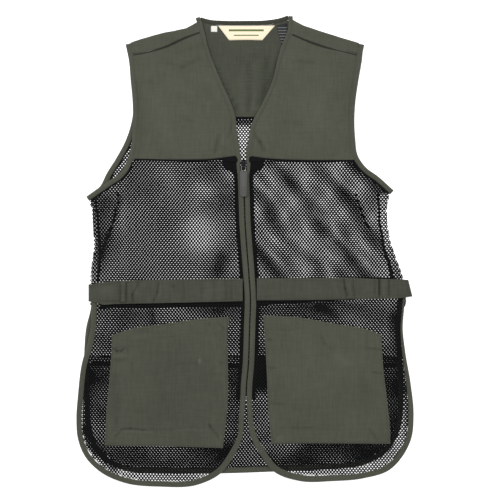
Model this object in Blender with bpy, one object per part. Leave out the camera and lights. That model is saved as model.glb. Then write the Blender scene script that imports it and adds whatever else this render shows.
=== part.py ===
"""Sleeveless shooting vest of cotton poplin and netting, laid flat on its back.

The vest's own frame: +X to the right of the picture, +Y towards the neck, +Z up, in metres.
The origin is the bottom centre of the whole piece, on the surface it lies on.
Every table below is in millimetres; MM turns them into metres as the meshes are made.
"""

import math

import bmesh
import bpy
import numpy as np

MM = 0.001

# Cloth and seams, in millimetres
CLOTH = 1.2  # wall of one layer of poplin or netting
BOUND = 2.4  # thickness of an edge inside its binding
BACK_BOUND = 3.0  # the same where the binding holds both the back and the pouch
SEAM_GAP = 0.3  # space between two pieces that are sewn together
STACKED = 1.6  # from the middle of one wall of cloth to the middle of the next one lying on it
ARMHOLE_BINDING = 8.5  # widths of the bindings whose tables give none
NECK_BINDING = 7.3
TAPE = 1.0  # wall of zip tapes and labels

SAMPLES = 16  # fine steps between two rows of an edge's table

# Levels of the layers above the surface, in millimetres, at the middle of each wall
BACK_LEVEL = 0.5 * CLOTH
FRONT_LEVEL = 4.0
BELT_LIFT = 1.5  # both layers ride up this much over the back belt and the rear pouch
LIFT_FROM, LIFT_TO = 24.0, -36.0  # the heights between which they ride up
SIDE_DROP = 1.9  # the front comes down this far to meet the back at a side seam
SIDE_REACH = 26.0  # and starts to do so this far from the seam

# The landmarks along the vest's length, in millimetres above its middle
BACK_YOKE_SEAM = 214.4
SIDE_TOP = 77.0
VENT_TOP = -92.0
NET_TURN = -91.4  # above this row a net's edge follows the side seam
CORNER_HEIGHT = -345.0  # where a hem's round corner becomes its lower edge
POUCH_TOP = -170.0

# Outer edge of each front, as part, x, y and the width of its binding
FRONT_EDGE_LEFT = (
    ("neck", -72.5, 375.0, 7.3),
    ("neck", -68.8, 365.0, 7.3),
    ("neck", -64.6, 350.0, 7.3),
    ("neck", -59.5, 327.5, 7.3),
    ("neck", -53.5, 310.0, 7.3),
    ("neck", -35.5, 266.0, 7.6),
    ("neck", -22.4, 237.0, 8.0),
    ("neck", -15.8, 218.0, 8.4),
    ("neck", -12.8, 192.0, 8.6),
    ("neck", -8.0, 161.0, 8.8),
    ("neck", -6.6, 148.0, 7.6),
    ("zip", -7.2, 139.0, 6.4),
    ("zip", -6.4, 131.0, 6.6),
    ("zip", -3.5, 122.0, 8.4),
    ("zip", -2.5, 115.0, 9.0),
    ("zip", -2.0, 103.0, 9.0),
    ("zip", -1.4, 85.0, 9.0),
    ("zip", 0.1, 43.0, 9.0),
    ("zip", 3.0, 2.0, 9.0),
    ("zip", 6.2, -38.0, 9.0),
    ("zip", 8.6, -78.0, 9.0),
    ("zip", 7.4, -117.0, 9.0),
    ("zip", 4.8, -187.0, 9.0),
    ("zip", 2.4, -214.0, 9.0),
    ("zip", 1.6, -234.0, 9.0),
    ("hem", -1.2, -268.0, 9.0),
    ("hem", -3.5, -296.0, 8.4),
    ("hem", -16.0, -325.5, 9.6),
    ("hem", -38.5, -355.5, 9.6),
    ("hem", -75.8, -374.0, 9.0),
    ("hem", -134.6, -377.1, 8.6),
    ("hem", -195.8, -370.0, 8.6),
    ("hem", -229.0, -355.0, 8.6),
    ("hem", -257.0, -327.0, 8.6),
    ("hem", -267.2, -301.0, 8.6),
    ("vent", -269.8, -268.0, 8.6),
    ("vent", -267.2, -230.0, 8.6),
    ("vent", -260.8, -179.0, 8.6),
    ("vent", -252.0, -148.0, 9.0),
    ("vent", -247.4, -123.0, 9.0),
    ("vent", -245.6, -92.0, 8.6),
)
FRONT_EDGE_RIGHT = (
    ("neck", 69.6, 376.0, 7.0),
    ("neck", 68.4, 354.0, 7.0),
    ("neck", 64.0, 341.0, 7.0),
    ("neck", 59.2, 330.5, 7.0),
    ("neck", 54.1, 314.0, 7.0),
    ("neck", 43.2, 271.0, 7.2),
    ("neck", 26.9, 235.0, 7.6),
    ("neck", 9.6, 201.0, 8.0),
    ("neck", 5.2, 178.0, 8.4),
    ("neck", 1.3, 158.0, 8.2),
    ("neck", 1.4, 148.0, 7.2),
    ("zip", 2.2, 139.0, 6.4),
    ("zip", 1.6, 131.0, 6.4),
    ("zip", -1.0, 122.0, 7.8),
    ("zip", -1.9, 115.0, 8.6),
    ("zip", -1.6, 103.0, 8.6),
    ("zip", -1.0, 85.0, 8.6),
    ("zip", 0.4, 43.0, 8.8),
    ("zip", 3.3, 2.0, 9.0),
    ("zip", 6.5, -38.0, 9.0),
    ("zip", 8.9, -78.0, 9.0),
    ("zip", 7.7, -117.0, 9.0),
    ("zip", 5.1, -187.0, 9.0),
    ("zip", 2.7, -214.0, 9.0),
    ("zip", 2.2, -234.0, 9.0),
    ("hem", 4.2, -268.0, 9.0),
    ("hem", 7.4, -292.0, 9.6),
    ("hem", 23.0, -324.0, 10.4),
    ("hem", 47.0, -353.5, 10.4),
    ("hem", 87.4, -368.0, 10.4),
    ("hem", 140.0, -368.2, 9.6),
    ("hem", 190.0, -363.6, 9.0),
    ("hem", 231.8, -349.8, 9.0),
    ("hem", 253.0, -327.0, 9.0),
    ("hem", 266.0, -300.0, 9.0),
    ("vent", 269.8, -263.0, 8.4),
    ("vent", 265.0, -212.0, 7.0),
    ("vent", 256.4, -161.0, 5.0),
    ("vent", 252.4, -122.0, 3.6),
    ("vent", 254.6, -92.0, 3.2),
)
# Outer edge of the back below its side seams, as part, x, y and the width of its binding
BACK_EDGE = (
    ("vent_left", -247.0, -90.5, 8.4),
    ("vent_left", -254.6, -123.0, 8.6),
    ("vent_left", -257.6, -160.0, 8.6),
    ("vent_left", -257.6, -238.0, 8.6),
    ("vent_left", -250.0, -300.0, 8.6),
    ("hem", -232.0, -332.0, 8.6),
    ("hem", -196.0, -351.0, 8.6),
    ("hem", -130.0, -356.0, 9.0),
    ("hem", -38.0, -356.4, 9.4),
    ("hem", 46.0, -353.6, 9.4),
    ("hem", 130.0, -350.0, 9.0),
    ("hem", 196.0, -341.0, 8.6),
    ("hem", 230.0, -320.0, 8.6),
    ("vent_right", 247.0, -290.0, 8.6),
    ("vent_right", 254.0, -238.0, 8.6),
    ("vent_right", 252.0, -175.0, 8.6),
    ("vent_right", 250.0, -123.0, 8.6),
    ("vent_right", 252.0, -92.8, 8.6),
)

# Outer edges of the armholes as x and y, from the shoulder's tip down to the side seam
ARMHOLE_FRONT_LEFT = (
    (-191.2, 330.6),
    (-185.8, 304.0),
    (-183.2, 274.0),
    (-180.2, 242.0),
    (-179.4, 218.0),
    (-180.2, 194.0),
    (-181.9, 171.0),
    (-186.4, 152.0),
    (-193.6, 134.0),
    (-203.0, 122.5),
    (-218.6, 112.0),
    (-234.4, 101.0),
    (-254.2, 87.0),
)
ARMHOLE_FRONT_RIGHT = (
    (191.0, 330.0),
    (187.8, 314.5),
    (181.0, 274.0),
    (176.2, 241.0),
    (174.6, 210.0),
    (176.2, 179.0),
    (179.2, 156.0),
    (193.0, 134.5),
    (213.0, 119.5),
    (238.0, 97.0),
)
ARMHOLE_BACK_LEFT = (
    (-190.0, 329.0),
    (-184.4, 304.0),
    (-181.8, 274.0),
    (-178.8, 242.0),
    (-180.8, 212.5),
    (-190.6, 179.0),
    (-206.9, 148.0),
    (-222.2, 123.5),
    (-231.4, 105.0),
    (-252.0, 87.0),
)
ARMHOLE_BACK_RIGHT = (
    (189.6, 329.0),
    (187.4, 306.0),
    (182.0, 274.0),
    (177.2, 241.0),
    (175.4, 210.0),
    (176.8, 179.0),
    (180.4, 154.0),
    (193.8, 132.5),
    (212.6, 117.5),
    (235.0, 97.0),
)

# The folded outline of each shoulder and the forward seam below it as x and y, from the armhole to the neck
SHOULDER_FOLD_LEFT = ((-180.4, 333.8), (-165.3, 339.7), (-128.6, 350.4), (-94.0, 358.1), (-81.2, 366.6))
SHOULDER_FOLD_RIGHT = ((179.8, 333.2), (172.6, 335.7), (142.1, 345.8), (111.4, 355.5), (91.0, 363.7), (81.0, 370.4))
FORWARD_SEAM_LEFT = ((-178.6, 315.2), (-151.0, 320.3), (-128.6, 327.4), (-92.8, 343.8), (-73.0, 351.0))
FORWARD_SEAM_RIGHT = ((178.4, 315.2), (157.3, 320.3), (131.8, 326.4), (111.4, 333.1), (75.6, 347.8))
NECK_EDGE = ((-71.0, 374.6), (-54.0, 370.4), (-37.4, 369.3), (0.8, 369.0), (39.0, 370.4), (56.0, 373.4), (68.4, 377.6))

# The seams that join each front yoke to the netting
YOKE_SEAM_LEFT = ((-177.0, 147.5), (-41.3, 148.5), (-15.6, 152.2))
YOKE_SEAM_RIGHT = ((175.0, 145.6), (89.0, 145.6), (30.7, 148.6), (10.0, 151.6))

# Side seams: how far out each lies at a height
SIDE_COLUMNS = ("y", "left", "right")
SIDES = (
    (95.0, -247.0, 234.0),
    (77.0, -246.8, 226.6),
    (66.0, -243.0, 225.6),
    (35.0, -241.4, 226.8),
    (4.0, -239.6, 234.6),
    (-27.0, -244.6, 245.9),
    (-45.0, -245.6, 253.2),
    (-92.0, -246.4, 256.6),
)

# Edges of the patch pockets as x and y
POCKET_LEFT = {
    "top": ((-213.3, -134.7), (-178.1, -123.4), (-134.1, -117.4), (-68.8, -107.8), (-23.8, -105.3)),
    "bottom": ((-224.6, -311.0), (-130.0, -312.4), (-35.2, -315.2)),
    "outer": ((-213.3, -134.7), (-213.6, -163.0), (-216.4, -200.0), (-222.2, -266.0), (-224.6, -311.0)),
    "inner": ((-23.8, -105.3), (-26.8, -120.0), (-27.2, -176.0), (-27.2, -242.0), (-35.2, -315.2)),
}
POCKET_RIGHT = {
    "top": ((218.4, -134.0), (195.5, -125.0), (146.6, -116.8), (81.3, -105.3), (29.1, -102.9)),
    "bottom": ((232.3, -308.4), (162.9, -307.8), (81.3, -307.8), (42.1, -308.6)),
    "outer": ((218.4, -134.0), (220.2, -176.3), (226.6, -233.4), (232.3, -290.7), (232.3, -308.4)),
    "inner": ((29.1, -102.9), (30.2, -125.0), (33.9, -176.3), (37.3, -258.0), (42.1, -308.6)),
}

# The belt at places along it, as x and the y of its upper and lower edge
BELT_LEFT = (
    (-3.0, -44.2, -80.2),
    (-78.0, -45.1, -82.0),
    (-151.0, -46.4, -83.7),
    (-207.0, -47.6, -84.6),
    (-226.0, -49.8, -86.2),
    (-249.8, -53.8, -80.0),
)
BELT_RIGHT = (
    (17.0, -43.5, -79.0),
    (89.0, -43.5, -78.6),
    (157.0, -42.6, -77.6),
    (211.0, -44.6, -76.6),
    (244.0, -45.4, -75.6),
)
BELT_BACK = (
    (-234.0, -57.0, -92.0),
    (0.0, -53.0, -89.0),
    (200.0, -40.0, -76.0),
    (262.0, -46.0, -73.0),
)
BELT_TAB = (
    (214.6, -44.5, -76.5),
    (250.0, -45.2, -75.0),
    (262.0, -46.0, -73.0),
)
BELT_FOLD_LEFT = -250.6  # how far out the belt folds round each side
BELT_FOLD_RIGHT = 266.6
BELT_TUCK = 14.0  # the front belt's end that turns under the left side

# Loops that hold the belt: x of the two upper and the two lower corners, then y of the top and the bottom
LOOP_LEFT = (-199.0, -190.2, -199.6, -190.8, -48.4, -82.0)
LOOP_RIGHT = (159.2, 172.0, 162.4, 175.0, -45.0, -75.6)

# Main soft folds of the fronts: a rounded ridge along a line, as x0, y0, x1, y1, reach and height
FRONT_FOLDS = (
    (-196.0, 92.0, -226.0, 6.0, 9.0, 2.4),
    (172.0, 96.0, 206.0, 14.0, 9.0, 2.4),
    (204.0, 82.0, 219.0, 22.0, 7.0, 1.6),
    (-128.0, 300.0, -96.0, 196.0, 30.0, 1.2),
    (126.0, 300.0, 92.0, 196.0, 30.0, 1.2),
    (-132.0, 60.0, -118.0, 10.0, 26.0, 1.4),
    (118.0, 70.0, 132.0, 10.0, 26.0, 1.2),
    (-126.0, -180.0, -126.0, -240.0, 52.0, 1.6),
    (130.0, -180.0, 134.0, -240.0, 52.0, 1.8),
)

# Zip tapes: y and how far each half reaches from its edge
TAPE_WIDTHS = ((143.0, 29.0), (133.0, 29.0), (126.0, 15.0), (-238.0, 15.0))

# Slider and its pull
SLIDER_X, SLIDER_Y = -2.6, 137.6
SLIDER_WIDTH, SLIDER_LENGTH, SLIDER_PLATE = 8.2, 12.6, 1.5
BRIDGE_WIDTH, BRIDGE_LENGTH, BRIDGE_WALL, BRIDGE_CLEAR = 2.4, 9.0, 1.0, 2.2
PIVOT_Y, PIVOT_RISE = 135.0, 1.0  # the pull's axis, above the slider's plate
RING_WIRE, RING_WIDTH, RING_REACH = 0.65, 6.6, 6.0
TAB_WIDTH, TAB_LENGTH, TAB_THICK, TAB_EDGE = 11.8, 41.0, 3.0, 1.0
STOP_PLACE, STOP_SIZE = (1.9, -236.0), (3.2, 3.6, 1.0)

# Labels at the back of the neck
NECK_LABEL = {
    "top": ((-43.2, 361.0), (2.0, 360.6), (48.2, 361.4)),
    "bottom": ((-25.4, 337.6), (2.0, 338.2), (27.7, 337.6)),
}
SIZE_LABEL = ((-54.4, 360.6), (-44.4, 360.6), (-44.4, 350.8), (-54.4, 351.2))
CARE_LABEL = ((50.6, 361.0), (66.4, 365.2), (70.8, 334.6), (58.6, 330.8))

OLIVE = (0.089, 0.095, 0.073)
OLIVE_BELT = (0.072, 0.076, 0.056)
NET_BLACK = (0.014, 0.014, 0.017)
TAPE_BLACK = (0.010, 0.010, 0.012)
CREAM = (0.86, 0.73, 0.49)
WHITE = (0.80, 0.79, 0.76)
RUBBER_GREY = (0.143, 0.143, 0.137)
METAL_GREY = (0.45, 0.45, 0.44)


def clear_scene():
    """Start from an empty scene."""
    for thing in list(bpy.data.objects):
        bpy.data.objects.remove(thing, do_unlink=True)


def material(name, colour, roughness, metallic=0.0):
    """A plain Principled material."""
    made = bpy.data.materials.new(name)
    made.use_nodes = True
    shader = made.node_tree.nodes["Principled BSDF"]
    shader.inputs["Base Color"].default_value = (*colour, 1.0)
    shader.inputs["Roughness"].default_value = roughness
    shader.inputs["Metallic"].default_value = metallic
    return made


def ramp(value, start, end):
    """0 before start, 1 after end, and a smooth rise between them; start may be the larger."""
    share = np.clip((np.asarray(value, float) - start) / (end - start), 0.0, 1.0)
    return share * share * (3.0 - 2.0 * share)


def fine_curve(points, samples=SAMPLES):
    """Closely spaced points on a smooth curve through the given ones, however many columns they have."""
    given = np.array(points, float)
    if len(given) < 3:
        share = np.linspace(0.0, 1.0, samples + 1)[:, None]
        return given[0] * (1.0 - share) + given[-1] * share
    steps = np.linalg.norm(np.diff(given[:, :2], axis=0), axis=1)
    slopes = np.diff(given, axis=0) / steps[:, None]
    tangents = np.empty_like(given)
    tangents[0], tangents[-1] = slopes[0], slopes[-1]
    weights = (steps[1:] / (steps[:-1] + steps[1:]))[:, None]
    tangents[1:-1] = slopes[:-1] * weights + slopes[1:] * (1.0 - weights)
    rows = []
    for k, step in enumerate(steps):
        t = np.linspace(0.0, 1.0, samples, endpoint=False)[:, None]
        rise = t * t * (3.0 - 2.0 * t)
        leave = (t**3 - 2.0 * t**2 + t) * step
        arrive = (t**3 - t**2) * step
        rows.append(given[k] * (1.0 - rise) + given[k + 1] * rise + tangents[k] * leave + tangents[k + 1] * arrive)
    return np.vstack([*rows, given[-1:]])


def along(curve, shares):
    """Points of a curve: that many even steps, or the given shares of its length."""
    if np.isscalar(shares):
        shares = np.linspace(0.0, 1.0, shares + 1)
    steps = np.linalg.norm(np.diff(curve[:, :2], axis=0), axis=1)
    place = np.concatenate([[0.0], np.cumsum(steps)])
    wanted = np.asarray(shares) * place[-1]
    return np.stack([np.interp(wanted, place, column) for column in curve.T], axis=1)


def shifted(curve, distance):
    """The curve moved sideways, to the left of its own direction; distance may differ along it."""
    direction = np.gradient(curve[:, :2], axis=0)
    direction /= np.linalg.norm(direction, axis=1)[:, None]
    sideways = np.stack([-direction[:, 1], direction[:, 0]], axis=1)
    return curve[:, :2] + sideways * np.reshape(distance, (-1, 1))


def at_heights(curve, heights):
    """The curve's points at the given heights; the curve climbs or falls all the way."""
    order = np.argsort(curve[:, 1])
    x = np.interp(heights, curve[order, 1], curve[order, 0])
    return np.stack([x, np.asarray(heights, float)], axis=1)


def side_at(height, column):
    """How far out a side seam lies at a height."""
    table = np.array(SIDES)
    return np.interp(height, table[::-1, 0], table[::-1, SIDE_COLUMNS.index(column)])


def fold_lift(x, y):
    """What the main folds of the fronts add to their height."""
    lift = np.zeros_like(x)
    for x0, y0, x1, y1, reach, height in FRONT_FOLDS:
        run = np.array([x1 - x0, y1 - y0])
        share = ((x - x0) * run[0] + (y - y0) * run[1]) / (run @ run)
        near = np.clip(share, 0.0, 1.0)
        away = np.hypot(x - x0 - near * run[0], y - y0 - near * run[1])
        lift += height * np.exp(-((away / reach) ** 2))
    return lift


def back_level(x, y):
    """Middle of the back's wall."""
    return BACK_LEVEL + BELT_LIFT * ramp(y, LIFT_FROM, LIFT_TO)


def front_level(x, y):
    """Middle of the fronts' walls: above the back, down to it at the side seams, and up over the folds."""
    inward = np.minimum(x - side_at(y, "left"), side_at(y, "right") - x)
    seam = ramp(y, -42.0, -18.0) * ramp(y, 84.0, 60.0)
    drop = SIDE_DROP * (1.0 - ramp(inward, 0.0, SIDE_REACH)) * seam
    return FRONT_LEVEL + BELT_LIFT * ramp(y, LIFT_FROM, LIFT_TO) - drop + fold_lift(x, y)


def level_at(height):
    """One height all over."""
    return lambda x, y: np.full_like(x, height)


def above_front(distance):
    """A level that lies this far above the fronts' middle."""
    return lambda x, y: front_level(x, y) + distance


def link(name, mesh, look):
    """Put a finished mesh into the scene under its node's name."""
    mesh.materials.append(look)
    made = bpy.data.objects.new(name, mesh)
    bpy.context.scene.collection.objects.link(made)
    return made


def thicken(made, thickness):
    """Give a sheet its wall, half to each side."""
    solid = made.modifiers.new("wall", "SOLIDIFY")
    solid.thickness = thickness * MM
    solid.offset = 0.0
    solid.use_even_offset = False
    return made


def sheet(name, places, thickness, look):
    """A wall of cloth through a grid of places, each an x, y and z in millimetres."""
    rows, columns = places.shape[:2]
    corners = [(r * columns + c) for r in range(rows - 1) for c in range(columns - 1)]
    faces = [(k, k + 1, k + columns + 1, k + columns) for k in corners]
    mesh = bpy.data.meshes.new(name)
    mesh.from_pydata((places.reshape(-1, 3) * MM).tolist(), [], faces)
    mesh.shade_smooth()
    return thicken(link(name, mesh, look), thickness)


def lifted(flat, level):
    """Give each place of a flat grid its height."""
    return np.dstack([flat, level(flat[..., 0], flat[..., 1])])


def patch(bottom, top, left, right, shares=None):
    """A grid that fills the space between four edges. Left and right run from the bottom up."""
    if shares is None:
        shares = np.linspace(0.0, 1.0, len(bottom))
    across = np.asarray(shares)[None, :, None]
    up = np.linspace(0.0, 1.0, len(left))[:, None, None]
    sides = left[:, None] * (1.0 - across) + right[:, None] * across
    ends = bottom[None] * (1.0 - up) + top[None] * up
    corners = (bottom[0] * (1.0 - across) + bottom[-1] * across) * (1.0 - up)
    corners = corners + (top[0] * (1.0 - across) + top[-1] * across) * up
    return sides + ends - corners


def band(name, edges, level, thickness, look):
    """A strip of binding between an outer and an inner edge."""
    return sheet(name, lifted(np.stack(edges, axis=1), level), thickness, look)


def edge_curve(table):
    """The whole smooth outer edge of a front or of the back: x, y and binding width."""
    return fine_curve([row[1:] for row in table], SAMPLES)


def edge_part(table, part, count, turn):
    """Outer and inner places of one part of an edge's binding, drawn in a little at both ends.

    turn is 1 where the cloth lies to the left of the edge's direction.
    """
    names = [row[0] for row in table]
    first = names.index(part)
    last = min(len(names) - names[::-1].index(part), len(table) - 1)
    whole = edge_curve(table)
    both = np.hstack([whole[:, :2], shifted(whole, turn * whole[:, 2])])
    cut = along(both[first * SAMPLES : last * SAMPLES + 1], 40 * count)
    trim = 0.5 * SEAM_GAP / np.linalg.norm(cut[1, :2] - cut[0, :2])
    wanted = np.linspace(trim, 40 * count - trim, count + 1)
    places = np.stack([np.interp(wanted, np.arange(len(cut)), column) for column in cut.T], axis=1)
    return places[:, :2], places[:, 2:]


def inner_edge(table, turn):
    """The seam line just inside an edge's binding."""
    whole = edge_curve(table)
    return shifted(whole, turn * (whole[:, 2] + SEAM_GAP))


def armhole_inner(table, turn):
    """The seam line just inside an armhole's binding."""
    curve = fine_curve(table)
    return shifted(curve, turn * (ARMHOLE_BINDING + SEAM_GAP))


def lowest_index(curve):
    """Where a hem's curve turns round at its lowest point."""
    return int(np.argmin(curve[:, 1]))


# Where a front net's columns stand, closer together beside the side seam
NET_SHARES = np.concatenate([np.linspace(0.0, 0.12, 4), np.linspace(0.12, 1.0, 8)[1:]])


def net_heights(top):
    """Heights of a net panel's rows, from its hem corners up to its top seam."""
    stops = (
        (CORNER_HEIGHT, 0),
        (CORNER_HEIGHT + 45.0, 3),
        (-163.0, 5),
        (-111.0, 4),
        (NET_TURN, 3),
        (VENT_TOP + 8.0, 1),
        (-36.0, 3),
        (24.0, 4),
        (66.0, 2),
        (SIDE_TOP, 1),
        (86.0, 1),
        (126.0, 6),
        (top, round((top - 126.0) / 8.0)),
    )
    rows = [np.array([CORNER_HEIGHT])]
    for (low, _), (high, count) in zip(stops[:-1], stops[1:]):
        rows.append(np.linspace(low, high, count + 1)[1:])
    return np.concatenate(rows)


def net_side(heights, armhole, vent, column):
    """Outer edge of a net panel: vent, side seam, then armhole."""
    x = np.where(
        heights <= NET_TURN,
        at_heights(vent, heights)[:, 0],
        np.where(heights < SIDE_TOP + 1.0, side_at(heights, column), at_heights(armhole, heights)[:, 0]),
    )
    return np.stack([x, heights], axis=1)


def front_net(name, edge, armhole, seam, column, turn, look):
    """One front's netting, from the yoke seam to the hem."""
    inner = inner_edge(edge, turn)
    low = lowest_index(inner)
    zip_side, vent_side = inner[: low + 1], inner[low:]
    top = fine_curve(seam)
    top[:, 1] -= 0.5 * SEAM_GAP
    heights = net_heights(top[0, 1])
    outer = net_side(heights, armhole_inner(armhole, -turn), vent_side, column)
    near = np.interp(heights, [CORNER_HEIGHT, 60.0, heights[-1]], [CORNER_HEIGHT, 60.0, top[-1, 1]])
    middle = at_heights(zip_side, near)
    corner_a = np.argmin(np.abs(zip_side[:, 1] - CORNER_HEIGHT))
    corner_b = low + np.argmin(np.abs(vent_side[:, 1] - CORNER_HEIGHT))
    hem = np.vstack([middle[:1], inner[corner_a + 1 : corner_b], outer[:1]])[::-1]
    bottom = along(hem, NET_SHARES)
    upper = along(top, NET_SHARES)
    upper[0], upper[-1] = outer[-1], middle[-1]
    flat = patch(bottom, upper, outer, middle, NET_SHARES)
    return sheet(name, lifted(flat, front_level), CLOTH, look)


def front_yoke(name, edge, armhole, shoulder, seam, turn, look):
    """One front's poplin yoke, between the forward shoulder seam and the netting."""
    top = fine_curve(shoulder)
    top[:, 1] -= 0.5 * SEAM_GAP
    bottom = fine_curve(seam)
    bottom[:, 1] += 0.5 * SEAM_GAP
    outer_line = armhole_inner(armhole, -turn)
    inner_line = inner_edge(edge, turn)
    inner_line = inner_line[: lowest_index(inner_line) + 1]
    rows, columns = 16, 8
    outer = at_heights(outer_line, np.linspace(bottom[0, 1], top[0, 1], rows + 1))
    inner = at_heights(inner_line, np.linspace(bottom[-1, 1], top[-1, 1], rows + 1))
    lower, upper = along(bottom, columns), along(top, columns)
    lower[0], lower[-1] = outer[0], inner[0]
    upper[0], upper[-1] = outer[-1], inner[-1]
    return sheet(name, lifted(patch(lower, upper, outer, inner), front_level), CLOTH, look)


def back_net(look):
    """The back's netting, from the back yoke to the hem."""
    left, right, bottom = back_frame(CORNER_HEIGHT + 30.0)
    heights = net_heights(BACK_YOKE_SEAM - 0.5 * SEAM_GAP)
    heights = heights[heights > left[0, 1]]
    heights = np.concatenate([left[:1, 1], heights])
    outer_left = net_side(heights, armhole_inner(ARMHOLE_BACK_LEFT, 1), left, "left")
    outer_right = net_side(heights, armhole_inner(ARMHOLE_BACK_RIGHT, -1), right, "right")
    columns = 12
    top = along(np.stack([outer_left[-1], outer_right[-1]]), columns)
    lower = along(bottom, columns)
    lower[0], lower[-1] = outer_left[0], outer_right[0]
    return sheet("back_net", lifted(patch(lower, top, outer_left, outer_right), back_level), CLOTH, look)


def back_frame(corner):
    """The seam lines inside the back's bindings: left side, right side and hem, below a corner height."""
    inner = inner_edge(BACK_EDGE, 1)
    middle = len(inner) // 2
    left, right = inner[:middle], inner[middle:]
    start = int(np.argmin(np.abs(left[:, 1] - corner)))
    end = middle + int(np.argmin(np.abs(right[:, 1] - corner)))
    return left[: start + 1][::-1], inner[end:], inner[start : end + 1]


def rear_pouch(look):
    """The netting pouch behind the lower back."""
    left, right, bottom = back_frame(CORNER_HEIGHT + 30.0)
    rows, columns = 6, 16
    heights = np.linspace(left[0, 1], POUCH_TOP, rows + 1)
    outer_left, outer_right = at_heights(left, heights), at_heights(right, heights)
    lower = along(bottom, columns)
    lower[0], lower[-1] = outer_left[0], outer_right[0]
    top = along(np.stack([outer_left[-1], outer_right[-1]]), columns)
    return sheet("rear_pouch", lifted(patch(lower, top, outer_left, outer_right), level_at(BACK_LEVEL)), CLOTH, look)


def shoulder_wrap(fold, seam, columns, turn):
    """Where the back yoke turns over one shoulder: rows of places from under the fold to the forward seam."""
    radius = 0.5 * (FRONT_LEVEL - BACK_LEVEL)
    outline = along(fine_curve(fold), columns)
    centre = shifted(outline, -turn * (radius + 0.5 * CLOTH))
    target = fine_curve(seam)
    target[:, 1] += 0.5 * SEAM_GAP
    target = along(target, columns)
    outward = outline - centre
    outward /= np.linalg.norm(outward, axis=1)[:, None]
    rows = []
    for angle in np.linspace(-0.5 * math.pi, 0.5 * math.pi, 7):
        flat = centre + outward * radius * math.cos(angle)
        height = BACK_LEVEL + radius * (1.0 + math.sin(angle))
        rows.append(np.column_stack([flat, np.full(len(flat), height)]))
    for share in (0.5, 1.0):
        flat = centre * (1.0 - share) + target * share
        height = front_level(flat[:, 0], flat[:, 1])
        rows.append(np.column_stack([flat, height]))
    return np.array(rows)


def back_yoke(look):
    """The poplin back yoke, which turns over both shoulders to the forward seams."""
    shoulder, neck, rows = 6, 10, 11
    left_wrap = shoulder_wrap(SHOULDER_FOLD_LEFT, FORWARD_SEAM_LEFT, shoulder, 1)
    right_wrap = shoulder_wrap(SHOULDER_FOLD_RIGHT, FORWARD_SEAM_RIGHT, shoulder, -1)[:, ::-1]
    neck_line = shifted(fine_curve(NECK_EDGE), -(NECK_BINDING + SEAM_GAP))
    neck_line = along(neck_line[2:-2], neck)
    top = np.vstack([left_wrap[0][:, :2], neck_line, right_wrap[0][:, :2]])
    low = BACK_YOKE_SEAM + 0.5 * SEAM_GAP
    outer_left = at_heights(armhole_inner(ARMHOLE_BACK_LEFT, 1), np.linspace(low, top[0, 1], rows + 1))
    outer_right = at_heights(armhole_inner(ARMHOLE_BACK_RIGHT, -1), np.linspace(low, top[-1, 1], rows + 1))
    outer_left[-1], outer_right[-1] = top[0], top[-1]
    share = (top[:, 0] - top[0, 0]) / (top[-1, 0] - top[0, 0])
    bottom = outer_left[0] * (1.0 - share[:, None]) + outer_right[0] * share[:, None]
    up = np.linspace(0.0, 1.0, rows + 1)[:, None, None]
    across = share[None, :, None]
    sides = outer_left[:, None] * (1.0 - across) + outer_right[:, None] * across
    ends = bottom[None] * (1.0 - up) + top[None] * up
    corners = (bottom[0] * (1.0 - across) + bottom[-1] * across) * (1.0 - up)
    corners = corners + (top[0] * (1.0 - across) + top[-1] * across) * up
    main = lifted(sides + ends - corners, back_level)

    mesh = bmesh.new()
    grid = [[mesh.verts.new(place * MM) for place in row] for row in main]
    flaps = []
    for wrap, start in ((left_wrap, 0), (right_wrap, len(top) - shoulder - 1)):
        rows_here = [grid[-1][start : start + shoulder + 1]]
        rows_here += [[mesh.verts.new(place * MM) for place in row] for row in wrap[1:]]
        flaps.append(rows_here)
    for block in (grid, *flaps):
        for lower, upper in zip(block[:-1], block[1:]):
            for k in range(len(lower) - 1):
                mesh.faces.new((lower[k], lower[k + 1], upper[k + 1], upper[k]))
    made = bpy.data.meshes.new("back_yoke")
    mesh.to_mesh(made)
    mesh.free()
    made.shade_smooth()
    return thicken(link("back_yoke", made, look), CLOTH)


def pocket(name, outline, look):
    """A patch pocket that lies on the net, made from the front's own points moved out."""
    columns, rows = 10, 10
    top = along(fine_curve(outline["top"]), columns)
    bottom = along(fine_curve(outline["bottom"]), columns)
    outer = along(fine_curve(outline["outer"])[::-1], rows)
    inner = along(fine_curve(outline["inner"])[::-1], rows)
    flat = patch(bottom, top, outer, inner)
    return sheet(name, lifted(flat, above_front(STACKED)), CLOTH, look)


def belt_station(table, x):
    """Upper and lower edge of the belt at one place."""
    rows = np.array(sorted(table))
    return np.interp(x, rows[:, 0], rows[:, 1]), np.interp(x, rows[:, 0], rows[:, 2])


def belt_rows(table, stations, level):
    """Rows of places across the belt at the given stations, one for its upper and one for its lower edge."""
    rows = []
    for x in stations:
        top, bottom = belt_station(table, x)
        ys = np.linspace(top, bottom, 3)
        xs = np.full(3, x)
        rows.append(np.column_stack([xs, ys, level(xs, ys)]))
    return rows


def belt_turn(edges, centre, radius, low, side, angles):
    """Rows of places round the fold at one side of the belt; side is -1 at the left."""
    rows = []
    for angle in angles:
        xs = np.full(3, centre + side * radius * math.cos(angle))
        zs = np.full(3, low + radius * (1.0 + math.sin(angle)))
        rows.append(np.column_stack([xs, np.linspace(*edges, 3), zs]))
    return rows


def side_belt_height(table, x, column, lift):
    """How high the belt lies where it leaves the side seam."""
    top, bottom = belt_station(table, x)
    ys = np.linspace(top, bottom, 3)
    return float(np.mean(front_level(np.full(3, side_at(ys[1], column)), ys))) + lift


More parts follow.
